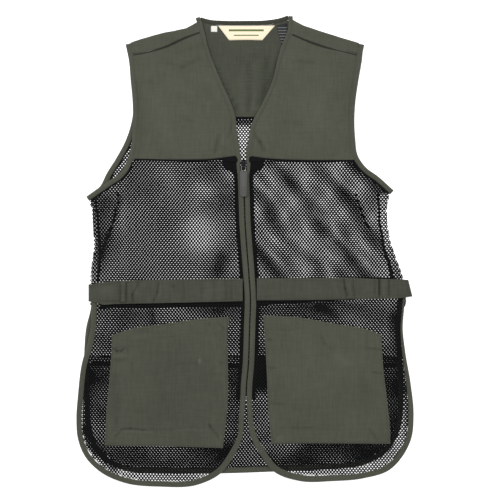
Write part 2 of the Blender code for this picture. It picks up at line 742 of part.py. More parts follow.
def belts(look):
    """The belt: two fronts caught in the zip's bindings, and a back piece that folds over at the right."""
    level = above_front(STACKED)
    angles = np.linspace(0.5 * math.pi, -0.5 * math.pi, 7)

    high = side_belt_height(BELT_LEFT, -246.0, "left", STACKED)
    radius = 0.5 * (high - BACK_LEVEL)
    centre = BELT_FOLD_LEFT + radius + 0.5 * CLOTH
    stations = np.concatenate([np.linspace(-3.6, -210.0, 11), np.linspace(-215.0, centre + 4.0, 6)])
    rows = belt_rows(BELT_LEFT, stations, level)
    edges = belt_station(BELT_LEFT, centre)
    rows += belt_turn(edges, centre, radius, BACK_LEVEL, -1, angles)
    xs = np.full(3, centre + BELT_TUCK)
    rows.append(np.column_stack([xs, np.linspace(edges[0] - 1.5, edges[1] - 1.5, 3), np.full(3, BACK_LEVEL)]))
    sheet("belt_front_left", np.array(rows), CLOTH, look)
    tuck_end = centre + BELT_TUCK

    stations = np.concatenate([np.linspace(18.8, 214.0, 11), np.linspace(220.0, 244.0, 4)])
    rows = belt_rows(BELT_RIGHT, stations, level)
    sheet("belt_front_right", np.array(rows), CLOTH, look)

    over_belt = above_front(2.0 * STACKED)
    high = side_belt_height(BELT_TAB, 256.0, "right", 2.0 * STACKED)
    radius = 0.5 * (high - BACK_LEVEL)
    centre = BELT_FOLD_RIGHT - radius - 0.5 * CLOTH
    rows = belt_rows(BELT_BACK, np.linspace(tuck_end + SEAM_GAP, centre - 2.0, 12), level_at(BACK_LEVEL))
    rows += belt_turn(belt_station(BELT_TAB, centre), centre, radius, BACK_LEVEL, 1, angles[::-1])
    rows += belt_rows(BELT_TAB, np.linspace(centre - 4.0, 214.6, 5), over_belt)
    sheet("belt_back", np.array(rows), CLOTH, look)


def belt_loop(name, row, look):
    """A loop of poplin that holds the belt to the front."""
    left_top, right_top, left_bottom, right_bottom, top, bottom = row
    upper = along(np.array([(left_top, top), (right_top, top)]), 2)
    lower = along(np.array([(left_bottom, bottom), (right_bottom, bottom)]), 2)
    flat = patch(lower, upper, along(np.stack([lower[0], upper[0]]), 3), along(np.stack([lower[-1], upper[-1]]), 3))
    level = above_front(2.0 * STACKED)
    return sheet(name, lifted(flat, level), CLOTH, look)


def zip_tape(name, edge, turn, look):
    """One side of the zip's tape, under the front's binding."""
    table = np.array(TAPE_WIDTHS)
    heights = np.concatenate([np.linspace(143.0, 126.0, 4), np.linspace(118.0, -238.0, 22)])
    whole = edge_curve(edge)
    path = at_heights(whole[: lowest_index(whole) + 1, :2], heights)
    widths = np.interp(heights, table[::-1, 0], table[::-1, 1])
    outer = path.copy()
    outer[:, 0] += turn * 0.1
    inner = path.copy()
    inner[:, 0] += turn * widths
    flat = np.stack([outer, inner], axis=1)
    level = above_front(-(0.5 * BOUND + SEAM_GAP + 0.5 * TAPE))
    return sheet(name, lifted(flat, level), TAPE, look)


def box(name, centre, size, bevel, look):
    """A rounded block."""
    mesh = bmesh.new()
    bmesh.ops.create_cube(mesh, size=1.0)
    bmesh.ops.scale(mesh, vec=[s * MM for s in size], verts=mesh.verts)
    if bevel:
        bmesh.ops.bevel(mesh, geom=mesh.edges[:], offset=bevel * MM, segments=2, profile=0.6, affect="EDGES")
    bmesh.ops.translate(mesh, vec=[c * MM for c in centre], verts=mesh.verts)
    made = bpy.data.meshes.new(name)
    mesh.to_mesh(made)
    mesh.free()
    made.shade_smooth()
    made.set_sharp_from_angle(angle=math.radians(40.0))
    return link(name, made, look)


def extruded(name, outline, middle, width, look):
    """An outline in the YZ plane pulled out along X."""
    mesh = bmesh.new()
    corners = [mesh.verts.new(((middle - 0.5 * width) * MM, y * MM, z * MM)) for y, z in outline]
    face = mesh.faces.new(corners)
    pulled = bmesh.ops.extrude_face_region(mesh, geom=[face])
    moved = [item for item in pulled["geom"] if isinstance(item, bmesh.types.BMVert)]
    bmesh.ops.translate(mesh, vec=(width * MM, 0.0, 0.0), verts=moved)
    bmesh.ops.recalc_face_normals(mesh, faces=mesh.faces)
    made = bpy.data.meshes.new(name)
    mesh.to_mesh(made)
    mesh.free()
    return link(name, made, look)


def zip_slider(look, base):
    """The slider: a rounded plate with a bridge that the pull's ring passes under."""
    plate = box(
        "zip_slider",
        (SLIDER_X, SLIDER_Y, base + 0.5 * SLIDER_PLATE),
        (SLIDER_WIDTH, SLIDER_LENGTH, SLIDER_PLATE),
        0.5,
        look,
    )
    top = base + SLIDER_PLATE
    half, inner = 0.5 * BRIDGE_LENGTH, 0.5 * BRIDGE_LENGTH - BRIDGE_WALL
    rise, roof = BRIDGE_CLEAR, BRIDGE_CLEAR + BRIDGE_WALL
    middle = PIVOT_Y + 1.4
    outline = [
        (-half, -0.5), (-half, roof - 1.2), (-half + 1.2, roof), (half - 1.2, roof), (half, roof - 1.2), (half, -0.5),
        (inner, -0.5), (inner, rise - 0.7), (inner - 0.7, rise), (-inner + 0.7, rise), (-inner, rise - 0.7), (-inner, -0.5),
    ]
    bridge = extruded("slider_bridge", [(middle + y, top + z) for y, z in outline], SLIDER_X, BRIDGE_WIDTH, look)
    bridge.hide_render = True
    bridge.display_type = "WIRE"
    union = plate.modifiers.new("bridge", "BOOLEAN")
    union.operation = "UNION"
    union.object = bridge
    return plate


def pull_ring(look, axis_z):
    """The wire ring between slider and pull tab, with its near bar on the pivot."""
    corner, sides, arc = 1.6, 8, 4
    half = 0.5 * RING_WIDTH
    near, far = PIVOT_Y, PIVOT_Y - RING_REACH
    centres = ((half - corner, near - corner, 0.0), (-half + corner, near - corner, 90.0))
    centres += ((-half + corner, far + corner, 180.0), (half - corner, far + corner, 270.0))
    path = []
    for x, y, start in centres:
        for k in range(arc + 1):
            angle = math.radians(start + 90.0 * k / arc)
            path.append((SLIDER_X + x + corner * math.cos(angle), y + corner * math.sin(angle)))
    path = np.array(path)
    forward = np.roll(path, -1, axis=0) - np.roll(path, 1, axis=0)
    forward /= np.linalg.norm(forward, axis=1)[:, None]
    outward = np.stack([forward[:, 1], -forward[:, 0]], axis=1)
    places, faces, count = [], [], len(path)
    for place, out in zip(path, outward):
        for k in range(sides):
            angle = 2.0 * math.pi * k / sides
            reach = RING_WIRE * math.cos(angle)
            places.append((place[0] + out[0] * reach, place[1] + out[1] * reach, axis_z + RING_WIRE * math.sin(angle)))
    for i in range(count):
        for k in range(sides):
            a, b = i * sides + k, i * sides + (k + 1) % sides
            c, d = ((i + 1) % count) * sides + (k + 1) % sides, ((i + 1) % count) * sides + k
            faces.append((a, d, c, b))
    mesh = bpy.data.meshes.new("pull_ring")
    mesh.from_pydata((np.array(places) * MM).tolist(), [], faces)
    mesh.shade_smooth()
    return link("pull_ring", mesh, look)


def label(name, corners, look, height):
    """A flat label that lies on the back yoke inside the neck."""
    top = along(np.array(corners[0]), 4)
    bottom = along(np.array(corners[1]), 4)
    flat = patch(bottom, top, np.stack([bottom[0], top[0]]), np.stack([bottom[-1], top[-1]]))
    return sheet(name, lifted(flat, level_at(height)), TAPE, look)


def main():
    clear_scene()
    olive = material("poplin", OLIVE, 0.85)
    belt_olive = material("belt_poplin", OLIVE_BELT, 0.85)
    binding = material("binding", OLIVE, 0.85)
    net = material("netting", NET_BLACK, 0.75)
    tape = material("zip_tape", TAPE_BLACK, 0.8)
    gloss = material("slider_enamel", TAPE_BLACK, 0.25)
    metal = material("ring_metal", METAL_GREY, 0.3, 1.0)
    rubber = material("pull_rubber", RUBBER_GREY, 0.55)
    cream = material("neck_label", CREAM, 0.7)
    white = material("size_label", WHITE, 0.7)

    back_yoke(olive)
    back_net(net)
    rear_pouch(net)
    front_yoke("front_yoke_left", FRONT_EDGE_LEFT, ARMHOLE_FRONT_LEFT, FORWARD_SEAM_LEFT, YOKE_SEAM_LEFT, -1, olive)
    front_yoke("front_yoke_right", FRONT_EDGE_RIGHT, ARMHOLE_FRONT_RIGHT, FORWARD_SEAM_RIGHT, YOKE_SEAM_RIGHT, 1, olive)
    front_net("front_net_left", FRONT_EDGE_LEFT, ARMHOLE_FRONT_LEFT, YOKE_SEAM_LEFT, "left", -1, net)
    front_net("front_net_right", FRONT_EDGE_RIGHT, ARMHOLE_FRONT_RIGHT, YOKE_SEAM_RIGHT, "right", 1, net)
    pocket("pocket_left", POCKET_LEFT, olive)
    pocket("pocket_right", POCKET_RIGHT, olive)
    belts(belt_olive)
    belt_loop("belt_loop_left", LOOP_LEFT, belt_olive)
    belt_loop("belt_loop_right", LOOP_RIGHT, belt_olive)

    for side, table, turn in (("left", FRONT_EDGE_LEFT, -1), ("right", FRONT_EDGE_RIGHT, 1)):
        for part, count in (("neck", 24), ("zip", 26), ("hem", 36), ("vent", 16)):
            edges = edge_part(table, part, count, turn)
            band(f"{part}_binding_{side}", edges, front_level, BOUND, binding)
    for part, count in (("vent_left", 22), ("hem", 44), ("vent_right", 16)):
        edges = edge_part(BACK_EDGE, part, count, 1)
        band(f"back_{part}_binding", edges, level_at(0.5 * BACK_BOUND), BACK_BOUND, binding)
    armholes = (
        ("armhole_binding_front_left", ARMHOLE_FRONT_LEFT, front_level, 1),
        ("armhole_binding_front_right", ARMHOLE_FRONT_RIGHT, front_level, -1),
        ("armhole_binding_back_left", ARMHOLE_BACK_LEFT, level_at(0.5 * BOUND), 1),
        ("armhole_binding_back_right", ARMHOLE_BACK_RIGHT, level_at(0.5 * BOUND), -1),
    )
    for name, table, level, turn in armholes:
        outer = along(fine_curve(table), 34)
        band(name, (outer, shifted(outer, turn * ARMHOLE_BINDING)), level, BOUND, binding)
    neck = along(fine_curve(NECK_EDGE), 20)
    band("neck_band", (neck, shifted(neck, -NECK_BINDING)), level_at(0.5 * BOUND), BOUND, binding)

    zip_tape("zip_tape_left", FRONT_EDGE_LEFT, -1, tape)
    zip_tape("zip_tape_right", FRONT_EDGE_RIGHT, 1, tape)
    base = FRONT_LEVEL + 0.5 * BOUND + SEAM_GAP
    zip_slider(gloss, base)
    axis_z = base + SLIDER_PLATE + PIVOT_RISE
    pull_ring(metal, axis_z)
    tab_top = PIVOT_Y - RING_REACH - RING_WIRE - SEAM_GAP
    tab_place = (SLIDER_X + 0.3, tab_top - 0.5 * TAB_LENGTH, base + SEAM_GAP + 0.5 * TAB_THICK)
    box("pull_tab", tab_place, (TAB_WIDTH, TAB_LENGTH, TAB_THICK), TAB_EDGE, rubber)
    stop_z = FRONT_LEVEL + BELT_LIFT + 0.5 * BOUND + SEAM_GAP + 0.5 * STOP_SIZE[2]
    box("zip_bottom_stop", (*STOP_PLACE, stop_z), STOP_SIZE, 0.3, metal)

    height = CLOTH + SEAM_GAP + 0.5 * TAPE
    label("neck_label", (NECK_LABEL["top"], NECK_LABEL["bottom"]), cream, height)
    label("size_label", (SIZE_LABEL[:2], SIZE_LABEL[:1:-1]), white, height)
    label("care_label", (CARE_LABEL[:2], CARE_LABEL[:1:-1]), tape, height)


main()
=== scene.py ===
# %% [markdown]
# # A shooting vest, laid flat on its back
# The real vest is cut from two cloths: an olive poplin that wears well at the shoulders and pockets,
# and an open black netting that keeps the wearer cool. All edges are bound with folded olive tape.
# This lesson dresses a plain model of it, cell by cell. Nothing of that model is moved: each piece here
# is made in the same place, from the same sizes, and then stands for the plain one.

# %% Load the plain model
import math

import bmesh
import bpy
import numpy as np
from mathutils.kdtree import KDTree
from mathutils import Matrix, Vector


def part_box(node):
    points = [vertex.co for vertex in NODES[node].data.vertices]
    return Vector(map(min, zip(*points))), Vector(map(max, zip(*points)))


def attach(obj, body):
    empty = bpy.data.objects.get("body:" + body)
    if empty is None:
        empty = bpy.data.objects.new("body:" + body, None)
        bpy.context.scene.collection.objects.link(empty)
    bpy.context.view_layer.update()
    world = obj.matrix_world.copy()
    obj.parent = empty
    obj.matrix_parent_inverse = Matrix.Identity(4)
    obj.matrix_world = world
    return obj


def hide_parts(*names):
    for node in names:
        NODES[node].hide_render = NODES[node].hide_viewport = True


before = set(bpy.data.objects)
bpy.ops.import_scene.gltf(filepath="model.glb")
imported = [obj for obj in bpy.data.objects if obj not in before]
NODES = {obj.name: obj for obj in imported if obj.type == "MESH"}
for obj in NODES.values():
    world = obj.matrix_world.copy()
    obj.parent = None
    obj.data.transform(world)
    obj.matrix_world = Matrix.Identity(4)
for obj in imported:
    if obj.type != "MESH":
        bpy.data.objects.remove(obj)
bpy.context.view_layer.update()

VEST, PULL = "vest", "pull"
MM = 0.001  # the tables below are in millimetres, as a pattern cutter would write them

# %% [markdown]
# ## The lines the vest is cut to
# A maker works from a pattern. Ours is a set of short tables: each row is one point of an edge, in
# millimetres, with X to the right and Y towards the neck. A smooth curve goes through the points, so a
# table needs only as many rows as the edge has changes of direction.

# %% Outer edges with the width of their binding: x, y, width
FRONT_EDGE_LEFT = (
    (-72.5, 375.0, 7.3), (-68.8, 365.0, 7.3), (-64.6, 350.0, 7.3), (-59.5, 327.5, 7.3),
    (-53.5, 310.0, 7.3), (-35.5, 266.0, 7.6), (-22.4, 237.0, 8.0), (-15.8, 218.0, 8.4),
    (-12.8, 192.0, 8.6), (-8.0, 161.0, 8.8), (-6.6, 148.0, 7.6), (-7.2, 139.0, 6.4), (-6.4, 131.0, 6.6),
    (-3.5, 122.0, 8.4), (-2.5, 115.0, 9.0), (-2.0, 103.0, 9.0), (-1.4, 85.0, 9.0), (0.1, 43.0, 9.0),
    (3.0, 2.0, 9.0), (6.2, -38.0, 9.0), (8.6, -78.0, 9.0), (7.4, -117.0, 9.0), (4.8, -187.0, 9.0),
    (2.4, -214.0, 9.0), (1.6, -234.0, 9.0), (-1.2, -268.0, 9.0), (-3.5, -296.0, 8.4),
    (-16.0, -325.5, 9.6), (-38.5, -355.5, 9.6), (-75.8, -374.0, 9.0), (-134.6, -377.1, 8.6),
    (-195.8, -370.0, 8.6), (-229.0, -355.0, 8.6), (-257.0, -327.0, 8.6), (-267.2, -301.0, 8.6),
    (-269.8, -268.0, 8.6), (-267.2, -230.0, 8.6), (-260.8, -179.0, 8.6), (-252.0, -148.0, 9.0),
    (-247.4, -123.0, 9.0), (-245.6, -92.0, 8.6), (-245.4, -76.0, 8.4),
)
FRONT_EDGE_RIGHT = (
    (69.6, 376.0, 7.0), (68.4, 354.0, 7.0), (64.0, 341.0, 7.0), (59.2, 330.5, 7.0), (54.1, 314.0, 7.0),
    (43.2, 271.0, 7.2), (26.9, 235.0, 7.6), (9.6, 201.0, 8.0), (5.2, 178.0, 8.4), (1.3, 158.0, 8.2),
    (1.4, 148.0, 7.2), (2.2, 139.0, 6.4), (1.6, 131.0, 6.4), (-1.0, 122.0, 7.8), (-1.9, 115.0, 8.6),
    (-1.6, 103.0, 8.6), (-1.0, 85.0, 8.6), (0.4, 43.0, 8.8), (3.3, 2.0, 9.0), (6.5, -38.0, 9.0),
    (8.9, -78.0, 9.0), (7.7, -117.0, 9.0), (5.1, -187.0, 9.0), (2.7, -214.0, 9.0), (2.2, -234.0, 9.0),
    (4.2, -268.0, 9.0), (7.4, -292.0, 9.6), (23.0, -324.0, 10.4), (47.0, -353.5, 10.4),
    (87.4, -368.0, 10.4), (140.0, -368.2, 9.6), (190.0, -363.6, 9.0), (231.8, -349.8, 9.0),
    (253.0, -327.0, 9.0), (266.0, -300.0, 9.0), (269.8, -263.0, 8.4), (265.0, -212.0, 7.0),
    (256.4, -161.0, 5.0), (252.4, -122.0, 3.6), (254.6, -92.0, 3.2), (256.0, -70.0, 3.2),
)
BACK_EDGE = (
    (-246.0, -78.0, 8.4), (-247.0, -90.5, 8.4), (-254.6, -123.0, 8.6), (-257.6, -160.0, 8.6),
    (-257.6, -238.0, 8.6), (-250.0, -300.0, 8.6), (-232.0, -332.0, 8.6), (-196.0, -351.0, 8.6),
    (-130.0, -356.0, 9.0),
    (-38.0, -356.4, 9.4), (46.0, -353.6, 9.4), (130.0, -350.0, 9.0), (196.0, -341.0, 8.6),
    (230.0, -320.0, 8.6), (247.0, -290.0, 8.6), (254.0, -238.0, 8.6), (252.0, -175.0, 8.6),
    (250.0, -123.0, 8.6), (252.0, -92.8, 8.6), (253.0, -76.0, 8.6),
)
print("edge rows:", len(FRONT_EDGE_LEFT), len(FRONT_EDGE_RIGHT), len(BACK_EDGE))

# %% Armholes, shoulder seams, neck and yoke seams: x, y
ARMHOLE_FRONT_LEFT = (
    (-191.2, 330.6), (-185.8, 304.0), (-183.2, 274.0), (-180.2, 242.0), (-179.4, 218.0), (-180.2, 194.0),
    (-181.9, 171.0), (-186.4, 152.0), (-193.6, 134.0), (-203.0, 122.5), (-218.6, 112.0), (-234.4, 101.0),
    (-254.2, 87.0),
)
ARMHOLE_FRONT_RIGHT = (
    (191.0, 330.0), (187.8, 314.5), (181.0, 274.0), (176.2, 241.0), (174.6, 210.0), (176.2, 179.0),
    (179.2, 156.0), (193.0, 134.5), (213.0, 119.5), (238.0, 97.0),
)
ARMHOLE_BACK_LEFT = (
    (-190.0, 329.0), (-184.4, 304.0), (-181.8, 274.0), (-178.8, 242.0), (-180.8, 212.5), (-190.6, 179.0),
    (-206.9, 148.0), (-222.2, 123.5), (-231.4, 105.0), (-252.0, 87.0),
)
ARMHOLE_BACK_RIGHT = (
    (189.6, 329.0), (187.4, 306.0), (182.0, 274.0), (177.2, 241.0), (175.4, 210.0), (176.8, 179.0),
    (180.4, 154.0), (193.8, 132.5), (212.6, 117.5), (235.0, 97.0),
)
FORWARD_SEAM_LEFT = (
    (-178.6, 315.2), (-151.0, 320.3), (-128.6, 327.4), (-92.8, 343.8), (-73.0, 351.0),
)
FORWARD_SEAM_RIGHT = (
    (178.4, 315.2), (157.3, 320.3), (131.8, 326.4), (111.4, 333.1), (75.6, 347.8),
)
NECK_EDGE = (
    (-71.0, 374.6), (-54.0, 370.4), (-37.4, 369.3), (0.8, 369.0), (39.0, 370.4), (56.0, 373.4),
    (68.4, 377.6),
)
YOKE_SEAM_LEFT = (
    (-177.0, 147.5), (-41.3, 148.5), (-15.6, 152.2),
)
YOKE_SEAM_RIGHT = (
    (175.0, 145.6), (89.0, 145.6), (30.7, 148.6), (10.0, 151.6),
)
print("shoulder seams run", FORWARD_SEAM_LEFT[0], "to", FORWARD_SEAM_RIGHT[0])

# %% Side seams (y, left, right) and the main folds of the fronts (x0, y0, x1, y1, reach, height)
SIDES = (
    (95.0, -247.0, 234.0),
    (77.0, -246.8, 226.6),
    (66.0, -243.0, 225.6),
    (35.0, -241.4, 226.8),
    (4.0, -239.6, 234.6),
    (-27.0, -244.6, 245.9),
    (-45.0, -245.6, 253.2),
    (-92.0, -246.4, 256.6),
)
FRONT_FOLDS = (
    (-196.0, 92.0, -226.0, 6.0, 9.0, 2.4),
    (172.0, 96.0, 206.0, 14.0, 9.0, 2.4),
    (204.0, 82.0, 219.0, 22.0, 7.0, 1.6),
    (-128.0, 300.0, -96.0, 196.0, 30.0, 1.2),
    (126.0, 300.0, 92.0, 196.0, 30.0, 1.2),
    (-132.0, 60.0, -118.0, 10.0, 26.0, 1.4),
    (118.0, 70.0, 132.0, 10.0, 26.0, 1.2),
    (-126.0, -180.0, -126.0, -240.0, 52.0, 1.6),
    (130.0, -180.0, 134.0, -240.0, 52.0, 1.8),
)

# %% [markdown]
# ## Curves from tables
# Blender has curve objects, but a binding needs the curve's own points as numbers: to step sideways by
# the binding's width, to find the height of the cloth below, and to place stitches. So the smooth curve is
# worked out here with numpy, and becomes geometry later.

# %% A smooth curve, even steps along it, and a step sideways
SAMPLES = 16  # fine steps between two rows of a table


def fine_curve(points):
    """Closely spaced points on a smooth curve through a table's rows, with as many columns as it has."""
    given = np.array(points, float)
    if len(given) < 3:
        share = np.linspace(0.0, 1.0, SAMPLES + 1)[:, None]
        return given[0] * (1.0 - share) + given[-1] * share
    steps = np.linalg.norm(np.diff(given[:, :2], axis=0), axis=1)
    slopes = np.diff(given, axis=0) / steps[:, None]
    tangents = np.empty_like(given)
    tangents[0], tangents[-1] = slopes[0], slopes[-1]
    weights = (steps[1:] / (steps[:-1] + steps[1:]))[:, None]
    tangents[1:-1] = slopes[:-1] * weights + slopes[1:] * (1.0 - weights)
    rows = []
    for k, step in enumerate(steps):
        t = np.linspace(0.0, 1.0, SAMPLES, endpoint=False)[:, None]
        rise = t * t * (3.0 - 2.0 * t)
        leave = (t**3 - 2.0 * t**2 + t) * step
        arrive = (t**3 - t**2) * step
        between = given[k] * (1.0 - rise) + given[k + 1] * rise
        rows.append(between + tangents[k] * leave + tangents[k + 1] * arrive)
    return np.vstack([*rows, given[-1:]])


def stepped(curve, step):
    """The same curve with points an even step apart."""
    lengths = np.linalg.norm(np.diff(curve[:, :2], axis=0), axis=1)
    place = np.concatenate([[0.0], np.cumsum(lengths)])
    wanted = np.linspace(0.0, place[-1], max(2, round(place[-1] / step) + 1))
    return np.stack([np.interp(wanted, place, column) for column in curve.T], axis=1)


def shifted(curve, distance):
    """The curve moved to the left of its own direction; distance may differ along it."""
    direction = np.gradient(curve[:, :2], axis=0)
    direction /= np.linalg.norm(direction, axis=1)[:, None]
    sideways = np.stack([-direction[:, 1], direction[:, 0]], axis=1)
    return curve[:, :2] + sideways * np.reshape(distance, (-1, 1))


print("front edge:", round(len(stepped(fine_curve(FRONT_EDGE_LEFT), 10.0)) * 10), "mm long")

# %% [markdown]
# ## How high each layer lies
# A flat vest is a stack: the back on the table, the fronts on the back, pockets and belt on the fronts.
# Every piece asks these functions for its height, so no layer cuts through another. Creases are soft
# ridges or troughs along a line: a bell curve across, full height along. They are placed where the
# photo shows them.

# %% Levels of the layers, in millimetres
BOUND, BACK_BOUND = 2.4, 3.0  # thickness of a bound edge: fronts and armholes, lower back
BACK_LEVEL, FRONT_LEVEL = 0.6, 4.0
BELT_LIFT, LIFT_FROM, LIFT_TO = 1.5, 24.0, -36.0
SIDE_DROP, SIDE_REACH = 1.9, 26.0
STACKED = 1.6  # from one layer to the next


def ramp(value, start, end):
    """0 before start, 1 after end, and a smooth rise between them; start may be the larger."""
    share = np.clip((np.asarray(value, float) - start) / (end - start), 0.0, 1.0)
    return share * share * (3.0 - 2.0 * share)


def ridges(x, y, table):
    """What soft ridges add to a height. Each row: x0, y0, x1, y1, reach, height."""
    lift = np.zeros_like(x)
    for x0, y0, x1, y1, reach, height in table:
        run = np.array([x1 - x0, y1 - y0])
        share = ((x - x0) * run[0] + (y - y0) * run[1]) / (run @ run)
        near = np.clip(share, 0.0, 1.0)
        away = np.hypot(x - x0 - near * run[0], y - y0 - near * run[1])
        lift += height * np.exp(-((away / reach) ** 2))
    return lift


def side_at(height, column):
    """How far out the side seam lies: column 1 is left and 2 is right."""
    table = np.array(SIDES)
    return np.interp(height, table[::-1, 0], table[::-1, column])


def back_height(x, y):
    """Middle of the back's wall."""
    return BACK_LEVEL + BELT_LIFT * ramp(y, LIFT_FROM, LIFT_TO)


def front_height(x, y):
    """Middle of the fronts' walls: above the back, down to it at the side seams, and up over the folds."""
    inward = np.minimum(x - side_at(y, 1), side_at(y, 2) - x)
    seam = ramp(y, -42.0, -18.0) * ramp(y, 84.0, 60.0)
    drop = SIDE_DROP * (1.0 - ramp(inward, 0.0, SIDE_REACH)) * seam
    return FRONT_LEVEL + BELT_LIFT * ramp(y, LIFT_FROM, LIFT_TO) - drop + ridges(x, y, FRONT_FOLDS)


print("the front lies", FRONT_LEVEL, "mm up at the chest")

# %% [markdown]
# ## Node trees written as sums
# Both materials and Geometry Nodes are graphs. Clicking them together is quick, but a script is easier to
# read when maths looks like maths. A Wire wraps one socket: adding or multiplying wires adds Math nodes.

# %% A graph whose wires can be added, multiplied and compared
class Wire:
    """One output socket. Arithmetic on it adds a Math node."""

    def __init__(self, graph, socket):
        self.graph, self.socket = graph, socket

    def maths(self, operation, first, second=None):
        inputs = {0: first} if second is None else {0: first, 1: second}
        return self.graph.add("ShaderNodeMath", {"operation": operation}, inputs)

    def __add__(self, other):
        return self.maths("ADD", self, other)

    def __sub__(self, other):
        return self.maths("SUBTRACT", self, other)

    def __rsub__(self, other):
        return self.maths("SUBTRACT", other, self)

    def __mul__(self, other):
        return self.maths("MULTIPLY", self, other)

    def __truediv__(self, other):
        return self.maths("DIVIDE", self, other)

    def __rtruediv__(self, other):
        return self.maths("DIVIDE", other, self)

    def __gt__(self, other):
        return self.maths("GREATER_THAN", self, other)

    __radd__ = __add__
    __rmul__ = __mul__

    def use(self, operation, other=None):
        """Any other Math operation, such as SINE or MODULO."""
        return self.maths(operation, self, other)

    def out(self, name):
        """Another output of the same node."""
        return Wire(self.graph, self.socket.node.outputs[name])


class Graph:
    """A node tree with one way to add a node: its type, its settings, then its inputs."""

    def __init__(self, tree):
        self.tree = tree

    def add(self, kind, settings=None, inputs=None):
        node = self.tree.nodes.new(kind)
        for key, value in (settings or {}).items():
            setattr(node, key, value)
        for key, value in (inputs or {}).items():
            self.feed(node.inputs[key], value)
        shown = [socket for socket in node.outputs if socket.enabled]
        return Wire(self, shown[0]) if shown else node

    def feed(self, socket, value):
        if isinstance(value, Wire):
            self.tree.links.new(value.socket, socket)
        else:
            socket.default_value = value


print("graph helper ready")

# %% [markdown]
# ## Cloth, thread, tape and rubber
# Poplin is a tight plain weave: matt, with a faint rib and a little unevenness of dye. Seen from two
# metres it reads as one colour that drifts slightly. Colour drift comes from a broad noise, the weave from
# two crossed waves in the bump, and darker and lighter places, partly wear and partly painted shade and
# light, from a few soft spots. All of them read Object coordinates, so the pattern stays put when the
# camera moves.
# Creases get painted shade in the fold and a painted highlight on the ridge, so each piece keeps its own in
# an attribute, which the same cloth reads.

# %% One maker for all materials
def linear(*colour):
    """A colour as a screen shows it, 0 to 255, turned into the linear values that shaders use."""
    return tuple(((c / 255.0 + 0.055) / 1.055) ** 2.4 if c > 10 else c / 255.0 / 12.92 for c in colour)


def mixed(graph, share, low, high):
    """A colour between two, or a little past either of them, by a share from about 0 to 1."""
    colours = [(*c, 1.0) if isinstance(c, tuple) else c for c in (low, high)]
    mix = graph.tree.nodes.new("ShaderNodeMix")
    mix.data_type = "RGBA"
    mix.clamp_factor = False
    graph.feed(mix.inputs[0], share)
    graph.feed(mix.inputs[6], colours[0])
    graph.feed(mix.inputs[7], colours[1])
    return Wire(graph, mix.outputs[2])


def finish(name, roughness, metallic=0.0, sheen=0.0, specular=0.3):
    """An empty Principled material and its graph."""
    made = bpy.data.materials.new(name)
    made.use_nodes = True
    shader = made.node_tree.nodes["Principled BSDF"]
    shader.inputs["Roughness"].default_value = roughness
    shader.inputs["Metallic"].default_value = metallic
    shader.inputs["Sheen Weight"].default_value = sheen
    shader.inputs["Sheen Roughness"].default_value = 0.6
    shader.inputs["Specular IOR Level"].default_value = specular
    return made, Graph(made.node_tree), shader


def noise(graph, scale, detail=2.0):
    """A noise on Object coordinates; scale is in features for each metre."""
    place = graph.add("ShaderNodeTexCoord").out("Object")
    inputs = {"Vector": place, "Scale": scale, "Detail": detail}
    return graph.add("ShaderNodeTexNoise", {}, inputs).out("Fac")


def axes(graph):
    """X, Y and Z of the Object coordinates as three wires."""
    place = graph.add("ShaderNodeTexCoord").out("Object")
    split = graph.add("ShaderNodeSeparateXYZ", {}, {0: place})
    return split.out("X"), split.out("Y"), split.out("Z")


def bumped(graph, shader, height, distance):
    """Lets a height disturb the surface's normal; distance is its depth in metres."""
    bump = graph.add("ShaderNodeBump", {}, {"Height": height, "Distance": distance, "Strength": 1.0})
    graph.feed(shader.inputs["Normal"], bump)


print("olive in linear light:", [round(c, 3) for c in linear(84, 86, 75)])

# %% Woven cloth
STREAK_LONG, STREAK_THIN = 42.0, 330.0  # slubby threads: features for each metre along and across them
# Painted shade: cloth that lies low, inside the vest, is made darker, as less light reaches it there.
LOW_SHADE_LEVEL, LOW_SHADE_RANGE = 0.0016, 0.0018  # cloth this low is darkest, and less so over this much more height


def stretched_noise(graph, along_x, along_y):
    """A noise drawn out into streaks."""
    x, y, z = axes(graph)
    drawn_out = {"X": x * along_x, "Y": y * along_y, "Z": z * STREAK_LONG}
    place = graph.add("ShaderNodeCombineXYZ", {}, drawn_out)
    return graph.add("ShaderNodeTexNoise", {}, {"Vector": place, "Scale": 1.0, "Detail": 1.5}).out("Fac")


def spot(x, y, middle_x, middle_y, reach):
    """A soft round spot, 1 in its middle; its place and reach are in millimetres."""
    across = (x - middle_x * MM) * (1.0 / (reach * MM))
    along = (y - middle_y * MM) * (1.0 / (reach * MM))
    return (0.0 - (across * across + along * along)).use("EXPONENT")


